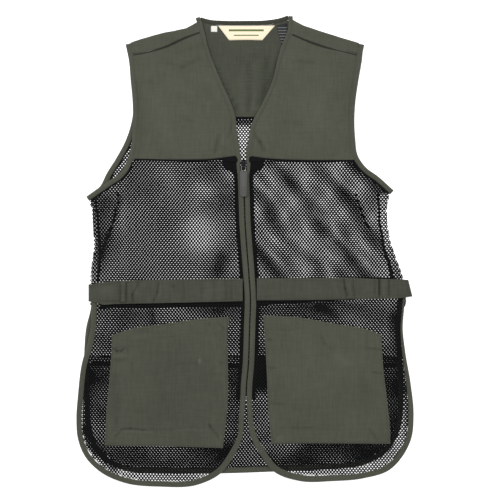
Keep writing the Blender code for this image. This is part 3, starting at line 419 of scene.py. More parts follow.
def woven(
    name, dark, light, pitch,
    drift=14.0, sheen=0.15, depth=0.00012, specular=0.3, slub=1.0, low_shade=0.0, spots=(),
):
    """Plain-woven cloth between two colours, its threads a pitch apart, in metres.

    Low down, inside the vest, it is darker by a given share: painted shade, as less light reaches there;
    spots are rows of x, y, reach and change.
    A piece may hold painted shade for its creases and painted highlights for their ridges in an attribute;
    where it has none, that reads 0.
    """
    made, graph, shader = finish(name, 0.88, sheen=sheen, specular=specular)
    x, y, z = axes(graph)
    broad = noise(graph, drift, 3.0)
    fluff = noise(graph, 900.0, 1.0)
    warp_streaks = stretched_noise(graph, STREAK_THIN, STREAK_LONG)
    weft_streaks = stretched_noise(graph, STREAK_LONG, STREAK_THIN)
    warp = (x * (2.0 * math.pi / pitch)).use("SINE")
    weft = (y * (2.0 * math.pi / pitch)).use("SINE")
    weave = warp * weft
    share = broad * 0.7 + fluff * 0.3 + weave * 0.06
    share = share + (warp_streaks - 0.5) * (0.7 * slub) + (weft_streaks - 0.5) * (0.5 * slub)
    # Painted shade for cloth that lies low, inside the vest.
    if low_shade:
        low_shade_share = 1.0 - (z - LOW_SHADE_LEVEL) * (1.0 / LOW_SHADE_RANGE)
        low_shade_share = low_shade_share.use("MINIMUM", 1.0).use("MAXIMUM", 0.0)
        share = share - low_shade_share * low_shade
    # Painted shade in the creases and painted highlights on their ridges, as each piece stores them.
    painted_crease_shading = graph.add("ShaderNodeAttribute", {"attribute_name": "painted_crease_shading"}).out("Fac")
    share = share + painted_crease_shading
    for middle_x, middle_y, reach, change in spots:
        share = share + spot(x, y, middle_x, middle_y, reach) * change
    graph.feed(shader.inputs["Base Color"], mixed(graph, share, linear(*dark), linear(*light)))
    bumped(graph, shader, weave * 0.5 + fluff * 0.8 + warp_streaks * 0.8 + weft_streaks * 0.6, depth)
    return made


# x, y, reach, change of the colour: partly wear, partly painted shade and light
POPLIN_WEAR_AND_SHADE_SPOTS = (
    (-125.0, -220.0, 90.0, -0.30),
    (136.0, -190.0, 80.0, 0.06),
    (-140.0, 335.0, 50.0, -0.12),
    (146.0, 335.0, 50.0, -0.12),
    (6.0, 230.0, 34.0, 0.15),
)
# The poplin gets painted shade low inside the vest, and soft spots that are partly wear and partly painted
# shade and light.
POPLIN = woven("poplin", (62, 65, 53), (82, 84, 71), 0.0009, low_shade=0.46, spots=POPLIN_WEAR_AND_SHADE_SPOTS)
BELT_CLOTH = woven("belt_poplin", (55, 58, 47), (72, 75, 63), 0.0011, slub=1.4)
BINDING_CLOTH = woven("binding_poplin", (60, 63, 52), (82, 84, 71), 0.0009, slub=0.6)
# The neck band is the binding's poplin painted darker: painted shade, as it lies low inside the neck.
NECK_SHADED_CLOTH = woven("neck_band_poplin_painted_shade", (42, 45, 34), (58, 61, 48), 0.0009, slub=0.6)
# A dark poplin for the shoulder seams' groove: painted shadow.
SHADE_CLOTH = woven("seam_shadow_poplin", (32, 34, 27), (46, 49, 39), 0.0009, sheen=0.0)
THREAD = woven("thread", (50, 53, 43), (66, 69, 57), 0.0006, sheen=0.1, slub=0.0)
YARN = woven("net_yarn", (6, 7, 8), (16, 17, 18), 0.0008, drift=40.0, sheen=0.0, specular=0.15, slub=0.0)
TAPE_CLOTH = woven(
    "zip_tape_cloth", (14, 15, 16), (28, 29, 30), 0.0010, drift=30.0, sheen=0.0, specular=0.15
)
print("woven finishes:", [m.name for m in bpy.data.materials])

# %% Enamel, metal, rubber and the printed labels
def hard(name, colour, roughness, metallic=0.0, specular=0.5, grain=400.0, depth=0.00002):
    """A smooth hard finish with fine handling marks in its roughness."""
    made, graph, shader = finish(name, roughness, metallic, specular=specular)
    marks = noise(graph, grain, 4.0)
    dull = tuple(0.8 * c for c in linear(*colour))
    graph.feed(shader.inputs["Base Color"], mixed(graph, marks, dull, linear(*colour)))
    graph.feed(shader.inputs["Roughness"], marks * 0.3 + (roughness - 0.15))
    bumped(graph, shader, marks, depth)
    return made


def striped_label(name, ground, mark, bands):
    """A label with bands across it. Each band: its y, half height, left and right, in metres."""
    made, graph, shader = finish(name, 0.7, sheen=0.1)
    x, y, _ = axes(graph)
    mask = 0.0
    for middle, half, left, right in bands:
        inside = half - (y - middle).use("ABSOLUTE")
        across = (right - left) * 0.5 - (x - (left + right) * 0.5).use("ABSOLUTE")
        mask = (inside > 0.0) * (across > 0.0) + mask
    fibre = noise(graph, 1500.0, 1.0)
    worn = tuple(0.94 * c for c in linear(*ground))
    ground_colour = mixed(graph, fibre, worn, linear(*ground))
    graph.feed(shader.inputs["Base Color"], mixed(graph, mask, ground_colour, linear(*mark)))
    bumped(graph, shader, fibre, 0.00004)
    return made


ENAMEL = hard("black_enamel", (22, 22, 23), 0.36, specular=0.25)
STEEL = hard("ring_steel", (118, 118, 116), 0.34, metallic=1.0)
RUBBER = hard("pull_rubber", (84, 85, 82), 0.6, grain=900.0, depth=0.00005)
print("hard finishes ready")

# %% [markdown]
# ## Panels of cloth
# A panel is a thin sheet. Its outline is already right in the plain model, so the upper side of that wall
# is copied, cut into a fine grid, and each point is given the height of its layer plus the creases of that
# panel. A thin Solidify turns the sheet into cloth with an edge that catches the light.

# %% Copy the upper side of a plain wall as a fine sheet
def merged_copy(node):
    """The plain node's mesh with its loose triangles joined up, as a bmesh."""
    mesh = bmesh.new()
    mesh.from_mesh(NODES[node].data)
    bmesh.ops.remove_doubles(mesh, verts=mesh.verts, dist=1e-6)
    mesh.normal_update()
    return mesh


def refined(mesh, cuts):
    """Quads instead of triangles, then each edge cut evenly."""
    bmesh.ops.join_triangles(mesh, faces=mesh.faces, angle_face_threshold=0.6, angle_shape_threshold=1.2)
    bmesh.ops.subdivide_edges(mesh, edges=mesh.edges, cuts=cuts, use_grid_fill=True)
    return mesh


def halved(mesh, longest, turns=4):
    """Cuts in half, a few times over, each edge that is longer than a length in millimetres."""
    for _ in range(turns):
        long = [edge for edge in mesh.edges if edge.calc_length() > longest * MM]
        bmesh.ops.subdivide_edges(mesh, edges=long, cuts=1, use_grid_fill=True)
    return mesh


def upper_sheet(node, cuts):
    """The upper side of a plain wall, cut into a fine grid."""
    mesh = merged_copy(node)
    below = [face for face in mesh.faces if face.normal.z < 0.5]
    bmesh.ops.delete(mesh, geom=below, context="FACES")
    return refined(mesh, cuts)


def edge_distance(mesh):
    """How far each point is from the panel's outline, in millimetres."""
    rim = [edge for edge in mesh.edges if edge.is_boundary]
    places = [v.co.copy() for edge in rim for v in edge.verts]
    places += [(edge.verts[0].co + edge.verts[1].co) / 2 for edge in rim]
    tree = KDTree(len(places))
    for k, place in enumerate(places):
        tree.insert((place.x, place.y, 0.0), k)
    tree.balance()
    return np.array([tree.find((v.co.x, v.co.y, 0.0))[2] for v in mesh.verts]) / MM


def new_object(name, data):
    """A new object in the scene."""
    made = bpy.data.objects.new(name, data)
    bpy.context.scene.collection.objects.link(made)
    return made


def flat_places(vertices):
    """The X and the Y of vertices, in millimetres, as two arrays."""
    return (np.array([v.co[k] for v in vertices]) / MM for k in (0, 1))


def put(name, mesh, look, replaces=(), body=VEST):
    """Puts a finished bmesh or mesh into the scene as a piece of the vest."""
    if isinstance(mesh, bmesh.types.BMesh):
        data = bpy.data.meshes.new(name)
        mesh.to_mesh(data)
        mesh.free()
    else:
        data = mesh
    data.shade_smooth()
    if not data.materials:
        data.materials.append(look)
    made = new_object(name, data)
    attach(made, body)
    if replaces:
        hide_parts(*replaces)
    return made


def flat_area(mesh):
    """Area of a flat sheet, in square metres."""
    return sum(face.calc_area() for face in mesh.faces)


def widened(mesh, margin):
    """Moves the outline of a flat sheet outwards in its own plane, by millimetres."""
    outwards = {}
    for edge in mesh.edges:
        if edge.is_boundary:
            loop = edge.link_loops[0]
            run = loop.link_loop_next.vert.co - loop.vert.co
            for v in edge.verts:
                outwards.setdefault(v, []).append(np.array((run.y, -run.x)) / max(run.length, 1e-9))
    for v, ways in outwards.items():
        way = sum(ways) / max(np.linalg.norm(sum(ways)), 1e-9)
        v.co.x += way[0] * margin * MM
        v.co.y += way[1] * margin * MM


def creased(target, table):
    """Stores each point's painted shade and painted highlight from a table: darker in the creases and
    beside edges, lighter on their ridges.
    """
    x, y = flat_places(target.data.vertices)
    painted_crease_shading = target.data.attributes.new("painted_crease_shading", "FLOAT", "POINT")
    painted_crease_shading.data.foreach_set("value", ridges(x, y, table))


def panel(node, cuts, height, look, painted_shading=(), wall=0.7, edge_roll=0.3, margin=0.0):
    """A cloth panel on a plain wall; height takes x, y and the distance to the outline, in millimetres."""
    name = f"{node}_cloth"
    mesh = upper_sheet(node, cuts)
    widened(mesh, margin)
    away = edge_distance(mesh)
    x, y = flat_places(mesh.verts)
    levels = height(x, y, away)
    levels -= edge_roll * np.exp(-((away / 1.2) ** 2))
    for v, level in zip(mesh.verts, levels):
        v.co.z = level * MM
    area = flat_area(mesh)
    made = put(name, mesh, look, (node,))
    creased(made, painted_shading)
    skin = made.modifiers.new("wall", "SOLIDIFY")
    skin.thickness = wall * MM
    skin.offset = 0.0
    low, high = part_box(node)
    print(name, "panel of", round(area, 4), "square metres")
    return made, (high[0] - low[0], high[1] - low[1]), area


print("panel tools ready")

# %% [markdown]
# ## The front yokes
# Each front yoke is poplin from the shoulder seam down to the netting. It is doubled at its lower edge,
# where the seam's turnings make a soft ridge about 6 mm wide. A few long troughs run down it, where the
# vest was folded in its bag.

# %% Yoke creases and the two front yokes
# x0, y0, x1, y1, reach, height
YOKE_CREASES = (
    (-150.0, 310.0, -118.0, 170.0, 14.0, 0.7),
    (-96.0, 320.0, -84.0, 200.0, 18.0, -0.8),
    (-60.0, 290.0, -40.0, 180.0, 12.0, 0.5),
    (-172.0, 260.0, -150.0, 160.0, 9.0, -0.6),
    (-40.0, 176.0, -22.0, 160.0, 4.0, 0.9),
    (-110.0, 318.0, -70.0, 336.0, 5.0, 0.9),
    (150.0, 315.0, 124.0, 170.0, 14.0, 0.7),
    (100.0, 315.0, 82.0, 190.0, 18.0, -0.8),
    (62.0, 290.0, 40.0, 180.0, 12.0, 0.5),
    (168.0, 250.0, 148.0, 160.0, 9.0, -0.6),
    (26.0, 196.0, 44.0, 170.0, 4.0, 0.9),
    (78.0, 292.0, 108.0, 306.0, 5.0, 0.8),
)
# x0, y0, x1, y1, reach, change of the colour: painted shade in a fold and beside an edge, painted highlight
# on a ridge
YOKE_PAINTED_SHADING = (
    (-42.7, 185.6, -48.0, 158.9, 2.4, -0.5),
    (-34.0, 185.6, -39.0, 158.9, 2.4, 0.3),
    (-21.3, 201.6, -26.7, 182.9, 2.6, -0.5),
    (-101.3, 214.9, -85.3, 206.9, 4.0, -0.22),
    (-122.7, 300.3, -98.7, 294.9, 3.4, -0.3),
    (-98.7, 294.9, -74.7, 308.3, 3.4, -0.25),
    (-172.0, 268.0, -168.0, 160.0, 7.0, -0.22),
    (-140.0, 240.0, -122.0, 170.0, 12.0, 0.16),
    (13.3, 188.3, 24.0, 174.9, 2.4, -0.6),
    (24.0, 174.9, 29.3, 161.6, 2.6, -0.6),
    (30.0, 184.0, 36.0, 168.0, 3.0, 0.3),
    (85.3, 304.6, 109.3, 301.6, 3.4, -0.4),
    (173.3, 257.0, 172.0, 161.0, 3.4, -0.3),
    (120.0, 250.0, 110.0, 190.0, 12.0, 0.14),
    (64.0, 206.0, 92.0, 204.0, 4.0, -0.18),
)


def seam_ridge(away, middle, reach, height):
    """A ridge or a groove that follows an outline at a distance from it."""
    return height * np.exp(-(((away - middle) / reach) ** 2))


def yoke_height(x, y, away):
    return front_height(x, y) + 0.2 + ridges(x, y, YOKE_CREASES) - seam_ridge(away, 3.2, 0.9, 0.22)


YOKE_MARGIN = 1.2  # the yokes' cloth goes this far under the bindings and over the nets
for side in ("left", "right"):
    node = f"front_yoke_{side}"
    made, flat, area = panel(node, 7, yoke_height, POPLIN, YOKE_PAINTED_SHADING, margin=YOKE_MARGIN)

# %% [markdown]
# ## The back yoke
# It goes right across the back and over both shoulders to a seam in front of them. The plain wall already
# turns over the shoulders, so the whole closed wall is copied and only pressed into soft troughs: one
# down the middle of the back, which shows in the neck opening.

# %% The back yoke with its shoulder turnings
SHELL_EDGE = 3.0  # the longest edge of a pressed shell, in millimetres


def pressed_shell(node, offset, look, painted_shading):
    """A copy of a plain closed wall, cut finer, each point moved in X and Z by a function of x, y and z."""
    name = f"{node}_cloth"
    mesh = halved(refined(merged_copy(node), 2), SHELL_EDGE)
    places = np.array([v.co[:] for v in mesh.verts]) / MM
    for v, move in zip(mesh.verts, np.stack(offset(*places.T), 1)):
        v.co.x += move[0] * MM
        v.co.z += move[1] * MM
    area = flat_area(mesh) / 2.0
    made = put(name, mesh, look, (node,))
    creased(made, painted_shading)
    low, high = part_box(node)
    print(name, "shell of", round(area, 4), "square metres a side")
    return made, (high[0] - low[0], high[1] - low[1]), area


# x0, y0, x1, y1, reach, height
BACK_CREASES = (
    (7.0, 318.0, 7.0, 225.0, 3.5, 0.9),
    (-26.0, 300.0, -14.0, 240.0, 7.0, 0.6),
    (36.0, 300.0, 22.0, 230.0, 6.0, 0.6),
)
# x0, y0, x1, y1, reach, change of the colour: painted shade in the folds and beside the bindings, painted
# highlight on the ridges
BACK_PAINTED_SHADING = (
    (7.0, 300.0, 7.0, 224.0, 2.3, -0.6),
    (14.0, 300.0, 13.0, 226.0, 3.0, 0.3),
    (-5.3, 292.0, -5.3, 226.0, 4.0, 0.2),
    (34.7, 310.0, 26.0, 240.0, 3.4, -0.5),
    (-47.0, 296.0, -27.6, 255.4, 2.8, -0.5),
    (-27.6, 255.4, -15.0, 227.8, 2.8, -0.6),
    (56.0, 310.9, 18.7, 233.6, 3.0, -0.45),
)


def back_yoke_offset(x, y, z):
    """Creases in the middle of the back; the shoulders reach under the bindings at both of their ends."""
    away = np.abs(x)
    outwards = 3.4 * ramp(away, 150.0, 182.0) - 4.0 * ramp(away, 110.0, 78.0) * ramp(away, 40.0, 74.0)
    return np.sign(x) * outwards * ramp(y, 296.0, 312.0), ridges(x, y, BACK_CREASES) * (z > 1.0) * (z < 1.5)


made, flat, area = pressed_shell("back_yoke", back_yoke_offset, POPLIN, BACK_PAINTED_SHADING)
SHOULDER_TURN = 0.024  # the cut is this much longer than it looks, as it turns over the shoulders
flat[1] + SHOULDER_TURN

# %% [markdown]
# ## The patch pockets
# A pocket is one piece of poplin, hemmed at the top and folded under along its other edges. The fold makes
# the edge a little thicker; the pocket's own bottom pleat shows as a line higher up. The
# hem of the opening is a double line about 20 mm down.

# %% Pocket creases and both pockets
# x0, y0, x1, y1, reach, height
POCKET_CREASES = (
    (-206.0, -146.0, -188.0, -152.0, 4.0, 0.9),
    (-207.0, -157.0, -196.0, -159.0, 2.4, -1.1),
    (-210.0, -172.0, -180.0, -170.0, 3.4, 0.7),
    (-180.0, -290.0, -176.0, -200.0, 18.0, 0.7),
    (-204.0, -230.0, -150.0, -236.0, 8.0, 0.5),
    (-120.0, -150.0, -96.0, -260.0, 22.0, -0.6),
    (-74.0, -172.0, -66.0, -280.0, 12.0, 0.5),
    (-48.0, -130.0, -36.0, -122.0, 4.0, 0.8),
    (-40.0, -178.0, -58.0, -190.0, 3.6, 0.9),
    (-34.0, -214.0, -52.0, -220.0, 4.0, 0.6),
    (206.0, -150.0, 196.0, -220.0, 9.0, 0.7),
    (176.0, -150.0, 196.0, -152.0, 4.0, 0.8),
    (170.0, -170.0, 180.0, -280.0, 16.0, -0.6),
    (96.0, -140.0, 158.0, -192.0, 14.0, 0.9),
    (66.0, -130.0, 78.0, -220.0, 12.0, -0.5),
    (40.0, -170.0, 60.0, -178.0, 5.0, 0.6),
    (56.0, -250.0, 90.0, -296.0, 9.0, 0.5),
    (196.0, -214.0, 218.0, -226.0, 5.0, 0.6),
)
# x0, y0, x1, y1, reach, change of the colour: painted shade in the folds and at the edges, painted
# highlight on the ridges
POCKET_PAINTED_SHADING = (
    (-211.0, -155.0, -204.6, -160.0, 1.7, -0.8),
    (-204.6, -160.0, -197.7, -160.0, 1.7, -0.8),
    (-197.7, -160.0, -192.0, -155.0, 1.7, -0.6),
    (-210.3, -173.3, -190.9, -172.8, 2.2, -0.4),
    (-205.0, -166.0, -196.0, -166.0, 2.2, 0.25),
    (-187.4, -136.6, -187.4, -161.8, 2.2, -0.3),
    (-181.3, -177.8, -181.3, -196.0, 2.2, -0.35),
    (-197.8, -284.8, -182.9, -283.4, 1.5, -0.8),
    (-182.9, -283.4, -161.1, -285.8, 1.5, -0.8),
    (-161.1, -285.8, -113.0, -285.8, 1.5, -0.3),
    (-113.0, -285.8, -58.2, -285.8, 2.2, 0.2),
    (-198.0, -288.5, -150.0, -289.5, 1.8, 0.3),
    (-197.8, -287.5, -206.9, -295.5, 2.0, -0.55),
    (-205.8, -269.3, -206.0, -275.0, 3.4, -0.3),
    (-57.1, -277.3, -55.0, -281.0, 2.2, -0.8),
    (-55.0, -281.0, -37.8, -303.5, 2.0, -0.4),
    (-38.5, -298.0, -38.0, -302.0, 2.6, 0.6),
    (-72.6, -174.0, -72.6, -177.0, 2.4, 1.1),
    (-110.9, -179.7, -76.2, -179.7, 2.2, -0.28),
    (-57.1, -115.4, -57.1, -118.4, 2.6, -0.5),
    (-44.8, -113.0, -34.0, -124.0, 1.6, -0.4),
    (-172.8, -127.5, -154.0, -127.0, 4.4, -0.3),
    (-207.0, -200.0, -209.0, -262.0, 7.0, -0.26),
    (-52.0, -140.0, -40.0, -200.0, 9.0, 0.18),
    (-44.0, -176.0, -36.0, -178.0, 1.8, -0.35),
    (-50.0, -196.0, -36.0, -197.0, 2.2, -0.25),
    (38.0, -141.3, 41.0, -141.3, 2.6, -0.6),
    (41.0, -187.0, 50.2, -187.0, 1.7, -0.6),
    (43.0, -244.0, 61.7, -244.0, 2.2, -0.35),
    (40.0, -196.0, 44.0, -232.0, 2.6, 0.25),
    (123.4, -139.0, 127.0, -148.0, 2.6, -0.35),
    (127.0, -148.0, 144.0, -161.8, 3.0, -0.16),
    (144.0, -164.0, 162.3, -177.8, 4.4, 0.26),
    (194.2, -127.5, 194.2, -157.3, 2.2, -0.35),
    (198.9, -155.2, 217.1, -157.3, 1.7, -0.5),
    (205.7, -193.6, 219.4, -196.2, 1.8, -0.55),
    (185.0, -196.0, 197.0, -228.0, 7.0, -0.2),
    (75.4, -282.4, 102.9, -282.4, 2.0, -0.45),
    (102.9, -282.4, 150.0, -285.0, 2.0, -0.18),
    (52.6, -300.0, 56.0, -302.0, 5.0, 0.35),
    (60.0, -282.0, 47.0, -303.0, 2.4, -0.2),
    (198.9, -285.0, 210.2, -301.0, 2.4, -0.4),
)
# x0, y0, x1, y1, reach, height
POCKET_PLEATS = (
    (-198.0, -285.0, -96.0, -285.0, 1.7, -0.8),
    (-96.0, -285.0, -58.0, -284.0, 1.7, -0.3),
    (-206.0, -284.0, -220.0, -306.0, 2.2, -0.6),
    (-62.0, -277.0, -41.0, -303.0, 2.2, -0.9),
    (-200.0, -170.0, -205.0, -270.0, 2.0, -0.35),
    (60.0, -281.0, 140.0, -281.0, 1.8, -0.35),
    (140.0, -281.0, 214.0, -280.0, 1.8, -0.5),
    (60.0, -281.0, 46.0, -304.0, 2.2, -0.4),
    (206.0, -276.0, 226.0, -303.0, 2.2, -0.6),
)


def pocket_height(x, y, away):
    creases = ridges(x, y, POCKET_CREASES) + ridges(x, y, POCKET_PLEATS)
    return front_height(x, y) + STACKED + 0.15 + creases - seam_ridge(away, 2.6, 0.9, 0.35)


for side in ("left", "right"):
    made, flat, area = panel(f"pocket_{side}", 10, pocket_height, POPLIN, POCKET_PAINTED_SHADING)

# %% [markdown]
# ## The bound edges
# Binding is a strip of poplin folded over the cloth's raw edge and sewn through. It is round at the
# outside, flattens towards its stitches, and puckers a little between them. A bevelled curve would twist
# and could not follow the layer's height, so a cross-section is swept: a ring of points at each
# step along the edge.

# %% Sweep a binding along an edge
BINDING_STEP = 2.2  # distance between two rings
ACROSS = 9  # points across the top, and as many below
ZIP_INSET = 0.45  # the two bindings leave a dark groove over the zip's coil


def binding_profile(share, thickness, stitch):
    """Half thickness of the binding at a share of its width from the outer edge."""
    rounded = np.clip(1.0 - np.abs(2.0 * share - 1.0) ** 3.2, 0.0, 1.0) ** 0.5
    pressed = 0.34 * np.exp(-(((share - stitch) / 0.08) ** 2)) + 0.10 * ramp(share, 0.3, 0.9)
    return 0.5 * thickness * np.clip(rounded - pressed, 0.04, 1.0)


def puckers(length, phase):
    """Small uneven swellings along a binding, from a few waves that never line up."""
    waves = ((9.0, 0.40), (13.7, 0.35), (31.0, 0.25))
    turns = 2.0 * math.pi * length
    return sum(share * np.sin(turns / wave + phase * (k + 1)) for k, (wave, share) in enumerate(waves))


def swept_binding(name, outer, inner, height, thickness, replaces, phase, look):
    """A binding between its outer and inner edges; returns the piece and its stitch line."""
    rings = len(outer)
    share = np.linspace(0.0, 1.0, ACROSS)
    stitch = 1.0 - 1.7 / np.linalg.norm(outer - inner, axis=1).mean()
    half = binding_profile(share, thickness, stitch)
    run = np.arange(rings) * BINDING_STEP
    swell = 1.0 + 0.10 * puckers(run, phase)
    flat = outer[:, None] * (1.0 - share[None, :, None]) + inner[:, None] * share[None, :, None]
    level = height(flat[..., 0], flat[..., 1])
    upper = np.dstack([flat, level + half[None] * swell[:, None]])
    lower = np.dstack([flat, level - half[None]])[:, ::-1]
    lower[..., 2] = np.maximum(lower[..., 2], 0.0)
    points = np.concatenate([upper, lower], axis=1)
    count = points.shape[1]
    faces = []
    for r in range(rings - 1):
        for k in range(count):
            a, b = r * count + k, r * count + (k + 1) % count
            faces.append((a, b, b + count, a + count))
    faces.append(tuple(range(count))[::-1])
    faces.append(tuple(range((rings - 1) * count, rings * count)))
    mesh = bmesh.new()
    corners = [mesh.verts.new(place * MM) for place in points.reshape(-1, 3)]
    for face in faces:
        mesh.faces.new([corners[k] for k in face])
    bmesh.ops.recalc_face_normals(mesh, faces=mesh.faces)
    made = put(name, mesh, look, replaces)
    row = int(round(stitch * (ACROSS - 1)))
    line = upper[:, row].copy()
    line[:, 2] += 0.05
    return made, line


stitch_lines = []
bindings = {}


def edge_binding(name, table, turn, height, thickness, replaces, phase, look=BINDING_CLOTH):
    """The binding of an edge whose table gives the width."""
    curve = stepped(fine_curve(table), BINDING_STEP)
    x, y = curve[:, 0], curve[:, 1]
    along_zip = (np.abs(x) < 12.0) * ramp(y, -290.0, -250.0) * ramp(y, 150.0, 120.0)
    outer = shifted(curve, turn * ZIP_INSET * along_zip)
    inner = shifted(curve, turn * curve[:, 2])
    bindings[name], line = swept_binding(name, outer, inner, height, thickness, replaces, phase, look)
    stitch_lines.append(line)


for side, table, turn in (("left", FRONT_EDGE_LEFT, -1), ("right", FRONT_EDGE_RIGHT, 1)):
    parts = [f"{part}_binding_{side}" for part in ("neck", "zip", "hem", "vent")]
    edge_binding(f"front_binding_{side}", table, turn, front_height, BOUND, parts, 0.7 + turn)
print("front bindings of", [len(b.data.vertices) for b in bindings.values()], "points")

# %% Bindings of the back, the armholes and the neck
def level(height):
    """The height of a layer that lies flat."""
    return lambda x, y: np.full_like(x, height)


back_parts = ["back_vent_left_binding", "back_hem_binding", "back_vent_right_binding"]
edge_binding("back_binding", BACK_EDGE, 1, level(0.5 * BACK_BOUND), BACK_BOUND, back_parts, 2.1)

ARMHOLE_WIDTH, NECK_WIDTH = 8.5, 7.3
ROUND_EDGES = (
    ("armhole_binding_front_left", ARMHOLE_FRONT_LEFT, 1, front_height, ARMHOLE_WIDTH),
    ("armhole_binding_front_right", ARMHOLE_FRONT_RIGHT, -1, front_height, ARMHOLE_WIDTH),
    ("armhole_binding_back_left", ARMHOLE_BACK_LEFT, 1, level(0.5 * BOUND), ARMHOLE_WIDTH),
    ("armhole_binding_back_right", ARMHOLE_BACK_RIGHT, -1, level(0.5 * BOUND), ARMHOLE_WIDTH),
    ("neck_band", NECK_EDGE, -1, level(0.5 * BOUND), NECK_WIDTH),
)
for k, (node, table, turn, height, width) in enumerate(ROUND_EDGES):
    rows = [(*row, width) for row in table]
    look = NECK_SHADED_CLOTH if node == "neck_band" else BINDING_CLOTH
    edge_binding(f"{node}_cloth", rows, turn, height, BOUND, [node], 3.0 + k, look)
print("bindings:", len(bindings))

# %% [markdown]
# ## The belt and its loops
# The belt is stiffer than the vest: poplin folded in three and sewn along both edges. It crosses the back
# out of sight, comes round both sides and is caught at the zip. The plain walls already turn round the
# sides, so they are copied whole, and pressed with the slanted creases that show beside the loops.

# %% Belt pieces
# x0, y0, x1, y1, reach, height
BELT_CREASES = (
    (-203.0, -50.0, -201.0, -82.0, 1.6, -0.7),
    (-172.0, -50.0, -180.0, -80.0, 2.2, -0.7),
    (-139.0, -60.0, -147.0, -82.0, 2.4, -0.7),
    (-120.0, -52.0, -110.0, -80.0, 8.0, 0.5),
    (-60.0, -48.0, -50.0, -80.0, 10.0, -0.5),
    (46.0, -46.0, 52.0, -78.0, 6.0, 0.5),
    (92.0, -46.0, 90.0, -78.0, 9.0, -0.5),
    (128.0, -46.0, 134.0, -76.0, 3.0, -0.5),
    (145.0, -46.0, 151.0, -76.0, 2.4, -0.7),
    (196.0, -46.0, 190.0, -76.0, 5.0, 0.5),
    (230.0, -46.0, 230.0, -76.0, 2.4, -0.8),
)
# x0, y0, x1, y1, reach, change of the colour: painted shade in the creases and at the loops' edges, painted
# highlight on the ridges
BELT_PAINTED_SHADING = (
    (-199.0, -50.0, -199.0, -80.0, 1.2, -0.7),
    (-190.0, -50.0, -190.0, -80.0, 1.3, -0.9),
    (-194.5, -50.0, -194.5, -80.0, 1.6, 0.3),
    (-170.0, -50.0, -180.0, -69.6, 1.6, -0.8),
    (-180.0, -69.6, -179.0, -80.5, 1.6, -0.9),
    (-176.0, -56.0, -172.0, -70.0, 3.0, 0.25),
    (-138.0, -50.0, -140.0, -65.6, 1.7, -0.8),
    (-140.0, -65.6, -146.0, -79.6, 1.7, -0.9),
    (-134.0, -56.0, -136.0, -70.0, 3.0, 0.25),
    (-116.0, -55.7, -112.0, -55.7, 3.0, -0.5),
    (-98.0, -50.0, -98.0, -78.0, 2.4, -0.25),
    (-60.0, -48.0, -60.0, -78.0, 5.0, 0.3),
    (-42.0, -48.0, -42.0, -78.0, 4.0, 0.2),
    (-30.0, -47.0, -30.0, -77.0, 1.6, -0.55),
    (-22.0, -47.0, -22.0, -77.0, 1.6, -0.45),
    (-222.0, -63.6, -214.0, -63.6, 9.0, 0.35),
    (-246.0, -56.5, -212.0, -53.0, 1.5, -0.4),
    (-234.0, -80.6, -200.0, -79.6, 1.5, -0.6),
    (157.0, -46.0, 160.0, -59.6, 1.9, -0.8),
    (160.0, -59.6, 164.0, -70.6, 1.9, -0.8),
    (166.0, -50.0, 169.0, -68.0, 2.2, 0.25),
    (170.0, -51.6, 174.0, -71.6, 1.9, -0.45),
    (207.0, -46.0, 207.0, -70.0, 1.8, -0.45),
    (214.4, -45.0, 214.8, -70.0, 1.5, -1.8),
    (222.0, -48.0, 222.0, -70.0, 3.0, 0.3),
    (230.0, -46.0, 230.0, -70.0, 2.0, -0.9),
    (261.0, -50.0, 264.5, -70.0, 1.4, -0.6),
    (40.0, -62.0, 60.0, -62.0, 8.0, 0.14),
    (100.0, -56.0, 108.0, -56.0, 6.0, 0.14),
)
BELT_X = (-250.0, -207.0, -3.0, 17.0, 211.0, 262.0)
BELT_TOP = (-53.8, -47.6, -44.2, -43.5, -44.6, -46.0)
BELT_LOW = (-80.0, -84.6, -80.2, -79.0, -76.6, -73.0)
BELT_SEAM = 2.6  # from the belt's edge to its row of stitches


def belt_rows(x):
    """Where the belt's upper and its lower row of stitches lie."""
    return np.interp(x, BELT_X, BELT_TOP) - BELT_SEAM, np.interp(x, BELT_X, BELT_LOW) + BELT_SEAM


def belt_edges(x, y):
    """The belt's sewn edges: a small groove along each row of stitches."""
    return -0.22 * sum(np.exp(-(((y - row) / 0.9) ** 2)) for row in belt_rows(x))


def belt_offset(x, y, z):
    """Creases on the belt's upper side; its right end is cut on a slant."""
    upper = ramp(z, 3.6, 4.8)
    slant = -0.25 * (y + 67.0) * ramp(x, 236.0, 262.0)
    return slant, (ridges(x, y, BELT_CREASES) + belt_edges(x, y)) * upper


BELT_WIDTH = 0.036
for node in ("belt_front_left", "belt_front_right", "belt_back"):
    made, _, area = pressed_shell(node, belt_offset, BELT_CLOTH, BELT_PAINTED_SHADING)
    area / BELT_WIDTH


def loop_height(x, y, away):
    return front_height(x, y) + 2.0 * STACKED + 0.1 - seam_ridge(away, 2.0, 0.7, 0.2)


for side in ("left", "right"):
    node = f"belt_loop_{side}"
    made, flat, area = panel(node, 8, loop_height, BELT_CLOTH, BELT_PAINTED_SHADING, wall=0.8)
    2.0 * flat[0]

# %% [markdown]
# ## The netting
# More than half of the vest is warp-knitted net: yarn round six-sided holes, in rows that are
# staggered like bricks. What we see through it, the back's net and then the table, makes the shimmer of the
# photo, and only real holes give it. There are tens of thousands, so this is work for Geometry Nodes: one
# cell is drawn once, instanced on a staggered grid, dropped on the panel by a ray, and trimmed at its
# outline. A net never lies straight, so the whole of it wanders by a soft noise, and each front slips a
# little against the back along the slanted rows: that makes the photo's bright and dark bands. Where a net
# is bunched its holes close up, and where it is pulled they open.

# %% One cell of the net
NET_PITCH, NET_ROW = 5.07, 3.2  # along a row, and from row to row
HOLE_SHARE = 0.72  # the widest hole's size as a share of its cell
HEXAGON = 2.598  # area of a regular hexagon with sides of 1
YARN_RISE, YARN_FALL = 0.22, -0.16  # the yarn's crown and its edge, against the net's middle


